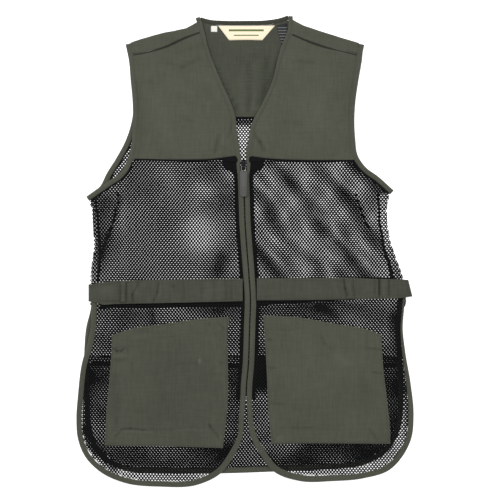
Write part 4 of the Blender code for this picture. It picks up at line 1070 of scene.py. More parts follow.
def net_cell():
    """A six-sided ring: its outer corners are where three yarns meet."""
    shoulder = (NET_ROW**2 - NET_PITCH**2 / 4.0) / (2.0 * NET_ROW)
    point = (NET_PITCH**2 / 4.0 + NET_ROW**2) / (2.0 * NET_ROW)
    half = 0.5 * NET_PITCH
    outer = [
        (half, -shoulder), (half, shoulder), (0.0, point),
        (-half, shoulder), (-half, -shoulder), (0.0, -point),
    ]
    reach = HOLE_SHARE * math.sqrt(NET_PITCH * NET_ROW / HEXAGON)  # a regular hole of that share
    inner = [(reach * math.cos(a), reach * math.sin(a)) for a in np.radians((-22, 22, 90, 158, 202, 270))]
    mesh = bpy.data.meshes.new("net_cell")
    places = [(x * MM, y * MM, 0.0) for x, y in outer + inner]
    faces = [(k, (k + 1) % 6, 6 + (k + 1) % 6, 6 + k) for k in range(6)]
    mesh.from_pydata(places, [], faces)
    inside = mesh.attributes.new("inside", "FLOAT", "POINT")
    for k in range(12):
        inside.data[k].value = 0.0 if k < 6 else 1.0
    made = new_object("net_cell", mesh)
    made.hide_render = True
    return made


cell = net_cell()
ring_area = sum(face.area for face in cell.data.polygons) / MM**2
print("where it is pulled, yarn covers", round(ring_area / (NET_PITCH * NET_ROW), 2), "of the net")

# %% Tools for geometry trees
def new_tree(name, inputs):
    """An empty geometry tree with named inputs: its graph, its input wires and their identifiers."""
    tree = bpy.data.node_groups.new(name, "GeometryNodeTree")
    tree.interface.new_socket("Geometry", in_out="INPUT", socket_type="NodeSocketGeometry")
    tree.interface.new_socket("Geometry", in_out="OUTPUT", socket_type="NodeSocketGeometry")
    keys = {}
    for label, kind in inputs.items():
        socket = tree.interface.new_socket(label, in_out="INPUT", socket_type=f"NodeSocket{kind}")
        keys[label] = socket.identifier
    graph = Graph(tree)
    entry = tree.nodes.new("NodeGroupInput")
    wires = {label: Wire(graph, entry.outputs[label]) for label in ("Geometry", *inputs)}
    return graph, wires, keys


def close_tree(graph, result, material):
    """Realize, smooth, set the material and end the tree."""
    result = graph.add("GeometryNodeRealizeInstances", {}, {"Geometry": result})
    result = graph.add("GeometryNodeSetShadeSmooth", {}, {"Geometry": result})
    result = graph.add("GeometryNodeSetMaterial", {}, {"Geometry": result, "Material": material})
    end = graph.tree.nodes.new("NodeGroupOutput")
    graph.tree.links.new(result.socket, end.inputs[0])


def vector_maths(operation, first, second):
    """Vector Math on two wires of the tree now being built."""
    return graph.add("ShaderNodeVectorMath", {"operation": operation}, {0: first, 1: second})


print("tree tools ready")

# %% The tree that lays a net on a panel
WANDER, WANDER_SCALE = 0.005, 11.0  # how far the net wanders, in metres, and its bends for each metre
NO_NET = 1.5  # where a panel is marked more open than this, it has no net
ROW_START = 1000.5  # rounds to the nearest row, and keeps all row numbers above 0

graph, given, NET_KEYS = new_tree(
    "lay_net",
    {"Cell": "Object", "Pitch": "Float", "Row": "Float", "Columns": "Int", "Rows": "Int",
     "Middle": "Vector", "Yarn": "Material"},
)
grid = graph.add(
    "GeometryNodeMeshGrid",
    {},
    {"Size X": (given["Columns"] - 1.0) * given["Pitch"], "Size Y": (given["Rows"] - 1.0) * given["Row"],
     "Vertices X": given["Columns"], "Vertices Y": given["Rows"]},
)
place = graph.add("GeometryNodeInputPosition")
place_y = graph.add("ShaderNodeSeparateXYZ", {}, {0: place}).out("Y")
row_number = (place_y / given["Row"] + ROW_START).use("FLOOR")
stagger = row_number.use("MODULO", 2.0) * given["Pitch"] * 0.5
shift = graph.add("ShaderNodeCombineXYZ", {}, {"X": stagger})
grid = graph.add("GeometryNodeSetPosition", {}, {"Geometry": grid, "Offset": shift})
grid = graph.add("GeometryNodeTransform", {}, {"Geometry": grid, "Translation": given["Middle"]})


def drop(position, attribute=(0.0, 0.0, 0.0)):
    """A ray straight down onto the panel from each point; it can read an attribute where it lands."""
    start = vector_maths("ADD", position, (0.0, 0.0, 0.5))
    return graph.add(
        "GeometryNodeRaycast",
        {"data_type": "FLOAT_VECTOR"},
        {"Target Geometry": given["Geometry"], "Source Position": start,
         "Ray Direction": (0.0, 0.0, -1.0), "Ray Length": 1.0, "Attribute": attribute},
    )


soft_noise = graph.add("ShaderNodeTexNoise", {}, {"Vector": place, "Scale": WANDER_SCALE, "Detail": 1.0})
centred = vector_maths("SUBTRACT", soft_noise.out("Color"), (0.5, 0.5, 0.5))
wandered = vector_maths("ADD", place, vector_maths("MULTIPLY", centred, (WANDER, WANDER, 0.0)))
lay = graph.add("GeometryNodeInputNamedAttribute", {"data_type": "FLOAT_VECTOR"}, {"Name": "lay"})
lay = graph.add("ShaderNodeSeparateXYZ", {}, {0: drop(wandered, lay).out("Attribute")})
slip_x = (lay.out("X") - lay.out("Y")) * given["Pitch"] * 0.5
slip_y = (lay.out("X") + lay.out("Y")) * given["Row"]
slipped = vector_maths("ADD", wandered, graph.add("ShaderNodeCombineXYZ", {}, {"X": slip_x, "Y": slip_y}))
openness_here = lay.out("Z")

missed = graph.add("FunctionNodeBooleanMath", {"operation": "NOT"}, {0: drop(slipped).out("Is Hit")})
unwanted = graph.add("FunctionNodeBooleanMath", {"operation": "OR"}, {0: missed, 1: openness_here > NO_NET})
points = graph.add(
    "GeometryNodeDeleteGeometry", {"domain": "POINT"}, {"Geometry": grid, "Selection": unwanted}
)
points = graph.add(
    "GeometryNodeStoreNamedAttribute", {"data_type": "FLOAT_VECTOR", "domain": "POINT"},
    {"Geometry": points, "Name": "centre", "Value": place},
)
source = graph.add("GeometryNodeObjectInfo", {}, {"Object": given["Cell"]}).out("Geometry")
cells = graph.add("GeometryNodeInstanceOnPoints", {}, {"Points": points, "Instance": source})
cells = graph.add("GeometryNodeRealizeInstances", {}, {"Geometry": cells})

inside = graph.add("GeometryNodeInputNamedAttribute", {"data_type": "FLOAT"}, {"Name": "inside"})
centre = graph.add("GeometryNodeInputNamedAttribute", {"data_type": "FLOAT_VECTOR"}, {"Name": "centre"})
inward = graph.add(
    "ShaderNodeVectorMath", {"operation": "SCALE"},
    {0: vector_maths("SUBTRACT", centre, place), "Scale": inside * (1.0 - openness_here)},
)
cells = graph.add("GeometryNodeSetPosition", {}, {"Geometry": cells, "Offset": inward})
ray = drop(slipped)
near = graph.add(
    "GeometryNodeProximity", {"target_element": "FACES"},
    {"Geometry": given["Geometry"], "Sample Position": slipped},
)
surface = graph.add(
    "GeometryNodeSwitch", {"input_type": "VECTOR"},
    {"Switch": ray.out("Is Hit"), "False": near, "True": ray.out("Hit Position")},
)
crown = graph.add("ShaderNodeCombineXYZ", {}, {"Z": (inside * (YARN_FALL - YARN_RISE) + YARN_RISE) * MM})
settled = vector_maths("ADD", surface, crown)
cells = graph.add("GeometryNodeSetPosition", {}, {"Geometry": cells, "Position": settled})
cells = graph.add("GeometryNodeMergeByDistance", {}, {"Geometry": cells, "Distance": 0.00008})
close_tree(graph, cells, given["Yarn"])
print("net tree:", len(graph.tree.nodes), "nodes")

# %% How far open each net is, and how far it slips against the back's net
NET_EVEN = 0.72  # the usual hole, as a share of the widest
SEAM_LEFT = (
    (-239.5, 84.0), (-238.9, 77.0), (-236.6, 58.7), (-234.2, 33.6), (-233.1, 15.4), (-233.1, -16.6),
    (-235.4, -48.6),
)
FOLD_LEFT = (
    (-205.8, 95.4), (-201.1, 83.8), (-206.9, 65.6), (-209.1, 51.8), (-218.2, 26.7), (-228.6, 1.6),
    (-232.0, -14.4),
)
SEAM_RIGHT = (
    (212.6, 92.0), (213.8, 77.0), (214.9, 58.7), (214.9, 47.4), (219.4, 24.5), (222.9, 1.6), (230.9, -21.3),
    (234.2, -37.3), (236.0, -48.0),
)
FOLD_RIGHT = ((177.1, 90.7), (186.2, 63.4), (195.4, 40.5), (208.0, 22.2), (217.1, 13.0))
# x0, y0, x1, y1, reach, change of the holes' size
BUNCHES_LEFT = (
    (-224.0, 80.0, -231.0, -30.0, 12.0, -0.22),
    (-226.0, -330.0, -90.0, -366.0, 9.0, -0.08),
    (-196.0, -350.0, -50.0, -353.0, 5.0, 0.22),
    (-82.0, 40.0, -80.0, 16.0, 26.0, 0.10),
    (-37.0, -14.0, -42.0, -30.0, 12.0, -0.14),
    (-152.0, -88.0, -148.0, -120.0, 6.0, -0.3),
    (-138.0, -100.0, -124.0, -112.0, 10.0, 0.08),
    (-90.0, -92.0, -42.0, -98.0, 8.0, -0.24),
    (-190.0, -96.0, -200.0, -130.0, 12.0, -0.12),
    (-262.0, -190.0, -258.0, -280.0, 10.0, -0.42),
    (-258.0, -284.0, -250.0, -314.0, 5.0, -0.3),
    (-254.0, -292.0, -239.0, -321.0, 6.5, -0.44),
    (-239.0, -321.0, -210.0, -348.0, 6.5, -0.4),
    (-201.0, 84.0, -208.0, 56.0, 4.0, -0.3),
    (-208.0, 56.0, -219.0, 24.0, 4.0, -0.3),
    (-219.0, 24.0, -232.0, -14.0, 4.0, -0.3),
)
BUNCHES_RIGHT = (
    (200.0, 120.0, 212.0, 60.0, 10.0, -0.10),
    (236.0, -322.0, 100.0, -358.0, 9.0, -0.08),
    (72.0, -348.0, 196.0, -341.0, 5.0, 0.22),
    (240.0, -110.0, 258.0, -220.0, 10.0, -0.42),
    (258.0, -224.0, 262.0, -296.0, 7.0, -0.36),
    (24.0, -90.0, 118.0, -92.0, 12.0, -0.22),
    (118.0, -92.0, 142.0, -104.0, 7.0, -0.34),
    (150.0, -94.0, 180.0, -118.0, 10.0, 0.12),
    (228.0, -88.0, 224.0, -150.0, 7.0, 0.14),
)
BUNCHES_BACK = (
    (-240.0, 90.0, -240.0, -50.0, 14.0, -0.08),
    (236.0, 90.0, 246.0, -50.0, 14.0, -0.25),
    (-192.0, 172.0, -216.0, 116.0, 9.0, -0.16),
    (3.0, -236.0, 3.0, -278.0, 10.0, -0.3),
    (-170.0, 207.6, 166.0, 207.6, 6.6, -0.5),
)
# x0, y0, x1, y1, reach, how nearly a front's holes lie over the back's: the photo's bright spots
LINED_UP = (
    (-76.0, 34.0, -70.0, 12.0, 25.0, 0.9),
    (-72.0, 101.0, -62.0, 96.0, 13.0, 0.7),
    (-28.0, 128.0, -22.0, 120.0, 8.0, 0.7),
    (-126.0, 120.0, -118.0, 110.0, 16.0, 0.4),
    (44.0, 128.0, 76.0, 80.0, 8.0, 0.55),
    (112.0, 60.0, 130.0, 48.0, 8.0, 0.65),
    (132.0, 16.0, 152.0, -6.0, 8.0, 0.65),
    (86.0, -18.0, 104.0, -28.0, 8.0, 0.65),
    (19.0, 116.0, 26.0, 102.0, 6.0, 0.5),
    (68.0, 25.0, 98.0, 20.0, 6.0, 0.45),
    (172.0, 22.0, 182.0, 10.0, 7.0, 0.45),
)


def slips(x, y, side):
    """Slips along the rows that rise to the right and to the left, as shares of one step of the net."""
    apart = 1.0 - ridges(x, y, LINED_UP)
    if side == "left":
        by_zip, by_side = ramp(x, -96.0, -58.0), ramp(x, -184.0, -204.0)
        rising = (0.04 + 0.24 * np.maximum(by_zip, by_side)) * apart
        falling = 0.21 * (1.0 - by_zip) * (1.0 - by_side) * apart
        falling = falling + ridges(x, y, ((-37.0, -14.0, -44.0, -32.0, 13.0, 0.30),))
    else:
        across = 0.79 * x + 0.61 * y
        slants = 0.32 * np.sin(across / 8.6 + 0.5 * np.sin(y / 17.0)) * (0.8 + 0.2 * np.sin(x / 21.0))
        rising = (0.07 + slants) * apart
        falling = 0.20 * np.sin(x / 15.0 - y / 43.0 + 0.6 * np.sin(y / 23.0)) * apart
    low = ramp(y, -60.0, -90.0)
    low_rising = 0.38 + 0.04 * np.sin(x / 23.0 - y / 31.0) + 0.04 * np.sin(y / 9.0 + x / 33.0)
    low_falling = 0.05 * np.sin(x / 17.0 + y / 29.0)
    low_rising = low_rising - 0.08 * ramp(x, 150.0, 220.0)
    if side == "left":
        inner = 0.25 * ramp(x, -50.0, -34.0) * ramp(y, -236.0, -256.0) * ramp(y, -324.0, -302.0)
    else:
        inner = ramp(x, 110.0, 46.0) * ramp(y, -214.0, -252.0) * (1.0 - 0.6 * ramp(y, -300.0, -330.0))
    low_rising = low_rising * (1.0 - inner) - 0.12 * inner
    wave = 0.04 * np.sin(x / 19.0 + y / 27.0) + 0.04 * np.sin(y / 11.0 - x / 31.0)
    return (rising + wave) * (1.0 - low) + low_rising * low, falling * (1.0 - low) + low_falling * low


def lay_front_left(x, y):
    return (*slips(x, y, "left"), NET_EVEN + ridges(x, y, BUNCHES_LEFT))


def lay_front_right(x, y):
    """The right front ends at its side seam; past it, only the back's net shows."""
    seam = np.array(SEAM_RIGHT)[::-1]
    past = (x > np.interp(y, seam[:, 1], seam[:, 0])) * (y < 90.0) * (y > -46.0)
    return (*slips(x, y, "right"), np.where(past, 2.0, NET_EVEN + ridges(x, y, BUNCHES_RIGHT)))


def lay_back(x, y):
    return np.zeros_like(x), np.zeros_like(x), NET_EVEN + ridges(x, y, BUNCHES_BACK)


def lay_pouch(x, y):
    """The pouch slips most between the two fronts, at the bottom, where no third net lies over it."""
    reach = np.interp(y, (-345.0, -262.0), (50.0, 14.0))
    between = ramp(y, -262.0, -290.0) * ramp(np.abs(x - 8.0), reach + 14.0, reach)
    rising = -0.19 + 0.04 * np.sin(x / 19.0 + y / 27.0) - 0.18 * between
    return rising, 0.05 * np.sin(x / 13.0 - y / 19.0), np.full_like(x, NET_EVEN - 0.04)


print("net slips ready")

# %% Lay the nets
NET_MARGIN = 2.2  # a net goes this far under its neighbours
NET_SLACK = 30.0  # the lattice is this much larger than its panel, and then trimmed


def evaluated(target):
    """The plain mesh that an object's modifiers make."""
    seen = target.evaluated_get(bpy.context.evaluated_depsgraph_get())
    return bpy.data.meshes.new_from_object(seen)


def with_nodes(target, tree_name, keys, values):
    """A Geometry Nodes modifier on an object, its inputs set by identifier, as a plain mesh."""
    made = target.modifiers.new(tree_name, "NODES")
    made.node_group = bpy.data.node_groups[tree_name]
    for label, value in values.items():
        made[keys[label]] = value
    mesh = evaluated(target)
    target.modifiers.remove(made)
    return mesh


def net_ground(name, node, height, lay, low=None, high=None):
    """The plain wall's upper side at its layer's height, or the stretch of it between two heights."""
    mesh = upper_sheet(node, 5)
    for value, keep_above in ((low, True), (high, False)):
        if value is not None:
            bmesh.ops.bisect_plane(
                mesh, geom=mesh.verts[:] + mesh.edges[:] + mesh.faces[:], plane_co=(0.0, value * MM, 0.0),
                plane_no=(0.0, 1.0, 0.0), clear_inner=keep_above, clear_outer=not keep_above,
            )
    widened(mesh, NET_MARGIN)
    x, y = flat_places(mesh.verts)
    for v, level_here in zip(mesh.verts, height(x, y)):
        v.co.z = level_here * MM
    data = bpy.data.meshes.new(name)
    mesh.to_mesh(data)
    mesh.free()
    laid = data.attributes.new("lay", "FLOAT_VECTOR", "POINT")
    laid.data.foreach_set("vector", np.stack(lay(x, y), 1).ravel())
    return new_object(name, data), (x.min(), x.max()), (y.min(), y.max())


def net_panel(name, node, height, lay, low=None, high=None, replaces=True):
    """Netting over a plain wall, or over a stretch of it. All nets share one lattice."""
    ground, across, along = net_ground(f"{name}_ground", node, height, lay, low, high)
    size = (across[1] - across[0], along[1] - along[0])
    values = {
        "Cell": cell,
        "Pitch": NET_PITCH * MM,
        "Row": NET_ROW * MM,
        "Columns": 2 * int(0.5 * (size[0] + NET_SLACK) / NET_PITCH) + 1,
        "Rows": 2 * int(0.5 * (size[1] + NET_SLACK) / NET_ROW) + 1,
        "Middle": (
            round(sum(across) / 2 / NET_PITCH) * NET_PITCH * MM,
            round(sum(along) / 2 / NET_ROW / 2) * NET_ROW * 2 * MM,
            0.0,
        ),
        "Yarn": YARN,
    }
    mesh = with_nodes(ground, "lay_net", NET_KEYS, values)
    print(name, "lies on", len(ground.data.vertices), "points and has", len(mesh.polygons) // 6, "holes")
    bpy.data.objects.remove(ground)
    yarn = sum(face.area for face in mesh.polygons)
    made = put(name, mesh, YARN, (node,) if replaces else ())
    return made, (float(size[0] * MM), float(size[1] * MM)), yarn


SPLIT = -60.0  # the back's net is two pieces, which meet under the belt
NETS = (
    ("front_net_left_mesh", "front_net_left", front_height, lay_front_left, None, None),
    ("front_net_right_mesh", "front_net_right", front_height, lay_front_right, None, None),
    ("back_net_upper_mesh", "back_net", back_height, lay_back, SPLIT, None),
    ("back_net_lower_mesh", "back_net", back_height, lay_back, None, SPLIT),
    ("rear_pouch_mesh", "rear_pouch", level(0.6), lay_pouch, None, None),
)
for name, node, height, lay, low, high in NETS:
    made, flat, yarn = net_panel(name, node, height, lay, low, high, replaces="upper" not in name)
bpy.data.objects.remove(cell)

# %% [markdown]
# The nets are closed up along their seams: under the yokes, along the armholes, down both sides, and where
# the back's net joins the back yoke. Each is a narrow rolled strip of the same black yarn; along the front
# armholes it is also painted shadow beside the bindings. The shoulder seams have a strip too, of dark
# poplin: painted shadow of the turned-in edge, which makes them look dark and deep.

# %% Seams as narrow strips
def seam_strip(name, rows, height, widths, look=YARN, thickness=1.0):
    """A closed strip of net or cloth centred on a line."""
    curve = stepped(fine_curve(rows), BINDING_STEP)
    half = 0.5 * np.interp(np.linspace(0.0, 1.0, len(curve)), np.linspace(0.0, 1.0, len(widths)), widths)
    outer, inner = shifted(curve, -half), shifted(curve, half)
    swept_binding(name, outer, inner, height, thickness, (), 1.0, look)


def on_top(x, y):
    return front_height(x, y) + 0.5


def inside_of(rows, distance, below=400.0):
    """The line a distance to the left of a table's line, as far as it is below a height."""
    line = shifted(fine_curve(rows), distance)
    return line[line[:, 1] < below][::8]


seam_strip("side_seam_left", SEAM_LEFT, on_top, (3.2, 3.6, 4.2))
seam_strip("side_fold_left", FOLD_LEFT, on_top, (1.6, 3.0, 2.6))
seam_strip("side_seam_right", SEAM_RIGHT, on_top, (3.2, 4.2, 6.4))
seam_strip("side_fold_right", FOLD_RIGHT, on_top, (1.6, 3.0, 2.4))
seam_strip("yoke_seam_left", inside_of(YOKE_SEAM_LEFT, -1.2), on_top, (3.2, 3.2))
seam_strip("yoke_seam_right", inside_of(YOKE_SEAM_RIGHT, 1.2), on_top, (3.2, 3.2))
# Along the front armholes the strip is partly the net's seam and partly painted shadow beside the bindings.
seam_strip("armhole_seam_left", inside_of(ARMHOLE_FRONT_LEFT, 9.4, 143.0), on_top, (2.6, 2.6, 3.4))
seam_strip("armhole_seam_right", inside_of(ARMHOLE_FRONT_RIGHT, -9.6, 142.0), on_top, (3.0, 3.4, 4.2))
seam_strip("armhole_back_seam_left", inside_of(ARMHOLE_BACK_LEFT, 9.2, 196.0), level(1.7), (1.8, 2.4, 2.0))
seam_strip("zip_top_left", ((-34.0, 145.6), (-22.0, 146.0), (-10.0, 146.6)), on_top, (3.0, 7.0, 10.0))
seam_strip("zip_top_right", ((5.0, 146.6), (17.0, 146.0), (31.0, 144.6)), on_top, (10.0, 7.0, 3.0))
seam_strip("pouch_mouth", ((-246.0, -181.0), (0.0, -184.0), (246.0, -183.0)), level(1.3), (8.0, 9.0, 8.0))
seam_strip("back_yoke_seam", ((-170.0, 213.4), (0.0, 213.4), (166.0, 213.4)), level(1.4), (3.4, 3.4))
# The shoulder strip is painted shadow: dark poplin in the groove of the turned-in edge.
SHOULDER_DROP = 1.4  # the turned-in edge lies this far in front of the shoulder seam
for side, seam in (("left", FORWARD_SEAM_LEFT), ("right", FORWARD_SEAM_RIGHT)):
    line = np.array(seam) - (0.0, SHOULDER_DROP)
    seam_strip(f"shoulder_seam_{side}", line, on_top, (1.4, 2.6, 3.4, 2.6), SHADE_CLOTH, 1.3)
print("seams ready")

# %% [markdown]
# ## Stitches
# Every binding, pocket and belt edge is held by a row of lockstitches, about four to the centimetre. A row
# is a line of edges turned into a curve; Geometry Nodes resample it at the stitch length and put one small
# sunk thread on each point, turned along the line.

# %% The stitch tree
STITCH_PITCH, STITCH_LENGTH, STITCH_RADIUS = 3.0, 2.1, 0.2
THREAD_SIDES, THREAD_RINGS = 6, 4

graph, given, STITCH_KEYS = new_tree(
    "sew_row", {"Pitch": "Float", "Length": "Float", "Radius": "Float", "Thread": "Material"}
)
line = graph.add("GeometryNodeMeshToCurve", {}, {0: given["Geometry"]})
line = graph.add("GeometryNodeResampleCurve", {"mode": "LENGTH"}, {"Curve": line, "Length": given["Pitch"]})
thread = graph.add(
    "GeometryNodeMeshUVSphere", {}, {"Segments": THREAD_SIDES, "Rings": THREAD_RINGS, "Radius": 1.0}
)
scale = graph.add(
    "ShaderNodeCombineXYZ", {}, {"X": given["Radius"], "Y": given["Radius"], "Z": given["Length"] * 0.5}
)
thread = graph.add("GeometryNodeTransform", {}, {"Geometry": thread, "Scale": scale})
along_line = graph.add("GeometryNodeInputTangent")
turn = graph.add("FunctionNodeAlignRotationToVector", {"axis": "Z"}, {"Vector": along_line})
row = graph.add("GeometryNodeInstanceOnPoints", {}, {"Points": line, "Instance": thread, "Rotation": turn})
close_tree(graph, row, given["Thread"])


def polylines(name, lines):
    """An object whose mesh is nothing but lines, in millimetres."""
    places, edges = [], []
    for line_points in lines:
        start = len(places)
        places += [tuple(c * MM for c in place) for place in line_points]
        edges += [(start + k, start + k + 1) for k in range(len(line_points) - 1)]
    mesh = bpy.data.meshes.new(name)
    mesh.from_pydata(places, edges, [])
    return new_object(name, mesh)


def sew(name, lines, look, pitch=STITCH_PITCH, length=STITCH_LENGTH, radius=STITCH_RADIUS):
    """Rows of stitches along lines."""
    guide = polylines(f"{name}_guide", lines)
    values = {"Pitch": pitch * MM, "Length": length * MM, "Radius": radius * MM, "Thread": look}
    mesh = with_nodes(guide, "sew_row", STITCH_KEYS, values)
    bpy.data.objects.remove(guide)
    put(name, mesh, look)
    print(name, "has", len(mesh.polygons) // (THREAD_SIDES * THREAD_RINGS), "stitches")


def on_front(line, lift):
    """A flat line laid on the fronts, some way above their middle."""
    flat = np.asarray(line)[:, :2]
    return np.column_stack([flat, front_height(flat[:, 0], flat[:, 1]) + lift])


sew("binding_stitches", stitch_lines, THREAD)

# %% Stitches of the yokes, pockets and belt
POCKET_LINES = (
    ((-211.0, -137.0), (-178.1, -126.2), (-134.1, -120.2), (-68.8, -110.6), (-26.4, -108.2)),
    ((-211.0, -137.0), (-211.0, -163.0), (-213.8, -200.0), (-219.6, -266.0), (-222.0, -308.4),
     (-130.0, -309.8), (-37.6, -312.4), (-29.8, -242.0), (-29.8, -176.0), (-29.4, -120.0), (-26.4, -108.2)),
    ((-210.6, -156.0), (-178.0, -145.0), (-134.0, -139.0), (-68.8, -129.5), (-29.6, -126.5)),
    ((216.0, -136.4), (195.5, -127.8), (146.6, -119.6), (81.3, -108.1), (31.8, -105.8)),
    ((216.0, -136.4), (217.6, -176.3), (224.0, -233.4), (229.7, -290.7), (229.7, -305.8), (162.9, -305.2),
     (81.3, -305.2), (44.6, -306.0), (39.9, -258.0), (36.5, -176.3), (32.8, -125.0), (31.8, -105.8)),
    ((217.0, -155.0), (195.5, -146.6), (146.6, -138.4), (81.3, -127.0), (33.0, -124.4)),
)


def fine_line(points, step=4.0):
    """Straight runs with extra points, so that the line can follow the cloth."""
    return stepped(np.array(points, float), step)


pocket_lines = [on_front(fine_line(line), STACKED + 0.45) for line in POCKET_LINES]
sew("pocket_stitches", pocket_lines, THREAD)

SEAM_ENDS = 6  # fine points at each end of a yoke seam that are left free of stitches
yoke_lines = []
for seam in (YOKE_SEAM_LEFT, YOKE_SEAM_RIGHT):
    curve = fine_curve(seam)[SEAM_ENDS:-SEAM_ENDS]
    for up in (1.8, 7.0):
        yoke_lines.append(on_front(curve + (0.0, up), 0.55))
for seam in (FORWARD_SEAM_LEFT, FORWARD_SEAM_RIGHT):
    yoke_lines.append(on_front(stepped(fine_curve(seam) - (0.0, 2.2), 4.0), 0.55))
sew("yoke_stitches", yoke_lines, THREAD)

belt_lines = []
for left, right, lift in ((-242.0, -4.0, STACKED), (19.0, 212.0, STACKED), (217.0, 262.0, 2.0 * STACKED)):
    xs = np.arange(left, right, 4.0)
    for row in belt_rows(xs):
        belt_lines.append(on_front(np.column_stack([xs, row]), lift + 0.5))
sew("belt_stitches", belt_lines, THREAD)

# %% [markdown]
# ## The zip
# A coil zip is one monofilament bent into loops and sewn to each tape. Where the fronts meet, the loops of
# both sides interlock, and only a dark ribbed line shows between the bindings.

# %% Tapes and coil
ZIP_TOP, ZIP_BOTTOM = 146.0, -234.0
FALLING = 460  # the first fine points of a front's edge, which fall steadily from the neck past the zip


def dress(node, look):
    """The look of a plain piece that is kept as it is."""
    NODES[node].data.materials.clear()
    NODES[node].data.materials.append(look)


for side in ("left", "right"):
    dress(f"zip_tape_{side}", TAPE_CLOTH)
heights = np.arange(ZIP_TOP, ZIP_BOTTOM, -2.0)
edges = [fine_curve(table)[:FALLING][::-1] for table in (FRONT_EDGE_LEFT, FRONT_EDGE_RIGHT)]
middle = 0.5 * sum(np.interp(heights, edge[:, 1], edge[:, 0]) for edge in edges)
coil = [on_front(np.column_stack([middle + offset, heights]), -0.3) for offset in (-0.8, 0.8)]
sew("zip_coil", coil, TAPE_CLOTH, pitch=1.3, length=2.1, radius=0.95)

# %% [markdown]
# ## The slider, its ring and the rubber pull
# The only hard pieces. The slider stays where it is, and the ring and tab swing on its bridge. All three
# have the right shape in the plain model; here the slider and ring get their finishes, and the tab's edges
# are rounded off and it gets its raised rim and three grip ribs.

# %% Slider and stop
for node, look in (("zip_slider", ENAMEL), ("zip_bottom_stop", STEEL), ("pull_ring", STEEL)):
    dress(node, look)

# %% The pull tab
def rounded_slab(mesh, low, high, radius, steps=5):
    """A block with round upright corners and softened upper and lower edges."""
    (x0, y0, z0), (x1, y1, z1) = low, high
    ring = []
    for cx, cy, start in ((x1, y1, 0.0), (x0, y1, 90.0), (x0, y0, 180.0), (x1, y0, 270.0)):
        sx, sy = (1 if cx == x0 else -1), (1 if cy == y0 else -1)
        for k in range(steps + 1):
            angle = math.radians(start + 90.0 * k / steps)
            out_x, out_y = radius * math.cos(angle), radius * math.sin(angle)
            ring.append((cx + sx * radius + out_x, cy + sy * radius + out_y))
    soft = min(0.0006, 0.3 * (z1 - z0))
    middle = np.array([(x0 + x1) / 2, (y0 + y1) / 2])
    layers = []
    upper_edge = ((z1 - soft, 0.0), (z1 - 0.3 * soft, 0.3 * soft), (z1, soft))
    for z, inward in ((z0, soft), (z0 + soft, 0.0), *upper_edge):
        points = []
        for place in ring:
            away = np.array(place) - middle
            points.append(mesh.verts.new((*(middle + away * (1.0 - inward / np.linalg.norm(away))), z)))
        layers.append(points)
    for below, upper in zip(layers[:-1], layers[1:]):
        for k in range(len(ring)):
            j = (k + 1) % len(ring)
            mesh.faces.new((below[k], below[j], upper[j], upper[k]))
    mesh.faces.new(layers[0][::-1])
    mesh.faces.new(layers[-1])


low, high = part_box("pull_tab")
tab = bmesh.new()
TAB_ROUND, EDGE_ROUND = 0.0026, 0.0006  # radius of the tab's corners, and of the rim's and the ribs'
RIM, RIM_HEIGHT, RIM_INSET = 0.0014, 0.0008, 0.002
RIB_PLACES, RIB_WIDTH, RIB_INSET = (0.006, 0.010, 0.014), 0.0016, 0.003
SUNK = 0.0002  # how far the rim and the ribs start inside the tab, and how much lower the ribs end
face_z = high[2] - RIM_HEIGHT
rounded_slab(tab, tuple(low), (high[0], high[1], face_z), TAB_ROUND)
for x0, x1, y0, y1 in (
    (low[0], low[0] + RIM, low[1] + RIM_INSET, high[1] - RIM_INSET),
    (high[0] - RIM, high[0], low[1] + RIM_INSET, high[1] - RIM_INSET),
    (low[0] + RIM_INSET, high[0] - RIM_INSET, low[1], low[1] + RIM),
    (low[0] + RIM_INSET, high[0] - RIM_INSET, high[1] - RIM, high[1]),
):
    rounded_slab(tab, (x0, y0, face_z - SUNK), (x1, y1, high[2]), EDGE_ROUND, 3)
for place in RIB_PLACES:
    y = low[1] + place
    rib_end = (high[0] - RIB_INSET, y + RIB_WIDTH, high[2] - SUNK)
    rounded_slab(tab, (low[0] + RIB_INSET, y, face_z - SUNK), rib_end, EDGE_ROUND, 3)
put("pull_tab_rubber", tab, RUBBER, ("pull_tab",), body=PULL)
print("pull tab", [round((b - a) / MM, 1) for a, b in zip(low, high)], "mm")

# %% [markdown]
# ## Labels inside the neck
# Three small woven pieces are sewn in at the back of the neck. The neck label has two plain green bars,
# the size tab is bare, and the care tape has pale bars. Bars are cheaper as a mask in the material than
# as geometry, since they are flat on the real piece too.

# %% The three labels
GREEN, PALE, BLACK = (96, 116, 62), (104, 106, 104), (26, 27, 28)
low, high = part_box("neck_label")
middle_y = 0.5 * (low[1] + high[1])
NECK_LOOK = striped_label(
    "neck_label_satin", (255, 240, 210), GREEN,
    ((middle_y + 0.004, 0.0016, -0.026, 0.030), (middle_y - 0.004, 0.0009, -0.018, 0.022)),
)
SIZE_LOOK = striped_label("size_label_satin", (238, 236, 228), PALE, ())
low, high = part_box("care_label")
bars = tuple((low[1] + 0.004 + 0.0046 * k, 0.0007, 0.052, 0.070) for k in range(6))
CARE_LOOK = striped_label("care_label_tape", BLACK, PALE, bars)


def label_height(x, y, away):
    """A label bulges a little in the middle of the neck, and its edge is pressed down."""
    return 2.0 + 0.25 * np.exp(-(((x - 2.0) / 24.0) ** 2)) - 0.2 * np.exp(-(away**2))


LABELS = (("neck_label", NECK_LOOK, 1.0), ("size_label", SIZE_LOOK, 2.0), ("care_label", CARE_LOOK, 1.0))
for node, look, folds in LABELS:
    made, flat, area = panel(node, 7, label_height, look, wall=0.4, edge_roll=0.1)
    folds * flat[1]

# %% [markdown]
# ## Table, light and camera
# The photo is a cut-out on white, taken from straight above. The table is white and glows a little, so it
# stays white under the vest's nets as it does in the photo, and the camera looks straight down from far
# enough away that nothing leans.

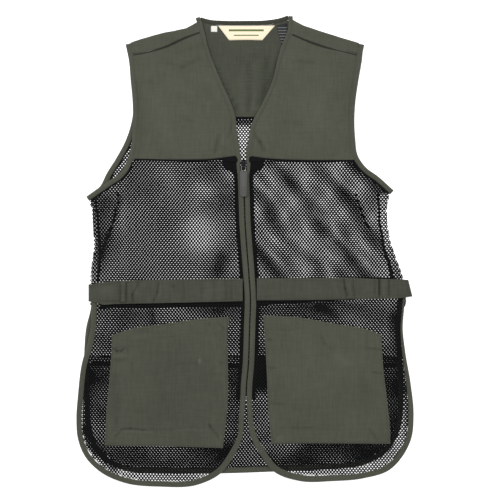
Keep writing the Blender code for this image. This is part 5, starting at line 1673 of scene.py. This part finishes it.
# %% The white table
def floor_finish():
    made, _, shader = finish("white_table", 0.9)
    shader.inputs["Base Color"].default_value = (0.82, 0.82, 0.82, 1.0)
    shader.inputs["Emission Color"].default_value = (1.0, 1.0, 1.0, 1.0)
    shader.inputs["Emission Strength"].default_value = 0.75
    return made


FLOOR_HALF, FLOOR_LEVEL = 6.0, -0.0002
SIGNS = ((-1, -1), (1, -1), (1, 1), (-1, 1))
table_mesh = bpy.data.meshes.new("floor")
corners = [(sx * FLOOR_HALF, sy * FLOOR_HALF, FLOOR_LEVEL) for sx, sy in SIGNS]
table_mesh.from_pydata(corners, [], [(0, 1, 2, 3)])
table_mesh.materials.append(floor_finish())
floor = new_object("floor", table_mesh)

# %% Lights and world
def area_light(name, place, size, power):
    """A white round light that points at the middle of the vest."""
    light = bpy.data.lights.new(name, "AREA")
    light.shape = "DISK"
    light.size = size
    light.energy = power
    made = new_object(name, light)
    made.location = place
    direction = -made.location
    made.rotation_mode = "QUATERNION"
    made.rotation_quaternion = direction.to_track_quat("-Z", "Y")


area_light("key", (-1.1, 1.2, 1.7), 0.9, 26.0)
area_light("fill", (1.4, 0.4, 1.6), 1.6, 12.0)
world = bpy.data.worlds.new("studio")
world.use_nodes = True
world.node_tree.nodes["Background"].inputs["Color"].default_value = (1.0, 1.0, 1.0, 1.0)
world.node_tree.nodes["Background"].inputs["Strength"].default_value = 0.55
bpy.context.scene.world = world
bpy.context.scene.view_settings.view_transform = "Standard"

# %% The camera, straight above
PIXEL = 0.0016  # one pixel of the photo, in metres
IMAGE_PIXELS = 500
IMAGE_MIDDLE_X, IMAGE_MIDDLE_Y = 5.0 * PIXEL, 1.0 * PIXEL
SCALE_LEVEL = 0.005  # the photo's scale holds at this height, where the fronts lie
camera_data = bpy.data.cameras.new("camera")
camera_data.lens = 100.0
camera_data.sensor_width = 36.0
camera = new_object("camera", camera_data)
HEIGHT = IMAGE_PIXELS * PIXEL * camera_data.lens / camera_data.sensor_width
camera.location = (IMAGE_MIDDLE_X, IMAGE_MIDDLE_Y, HEIGHT + SCALE_LEVEL)
bpy.context.scene.camera = camera
print("camera", round(camera.location.z, 3), "m up")
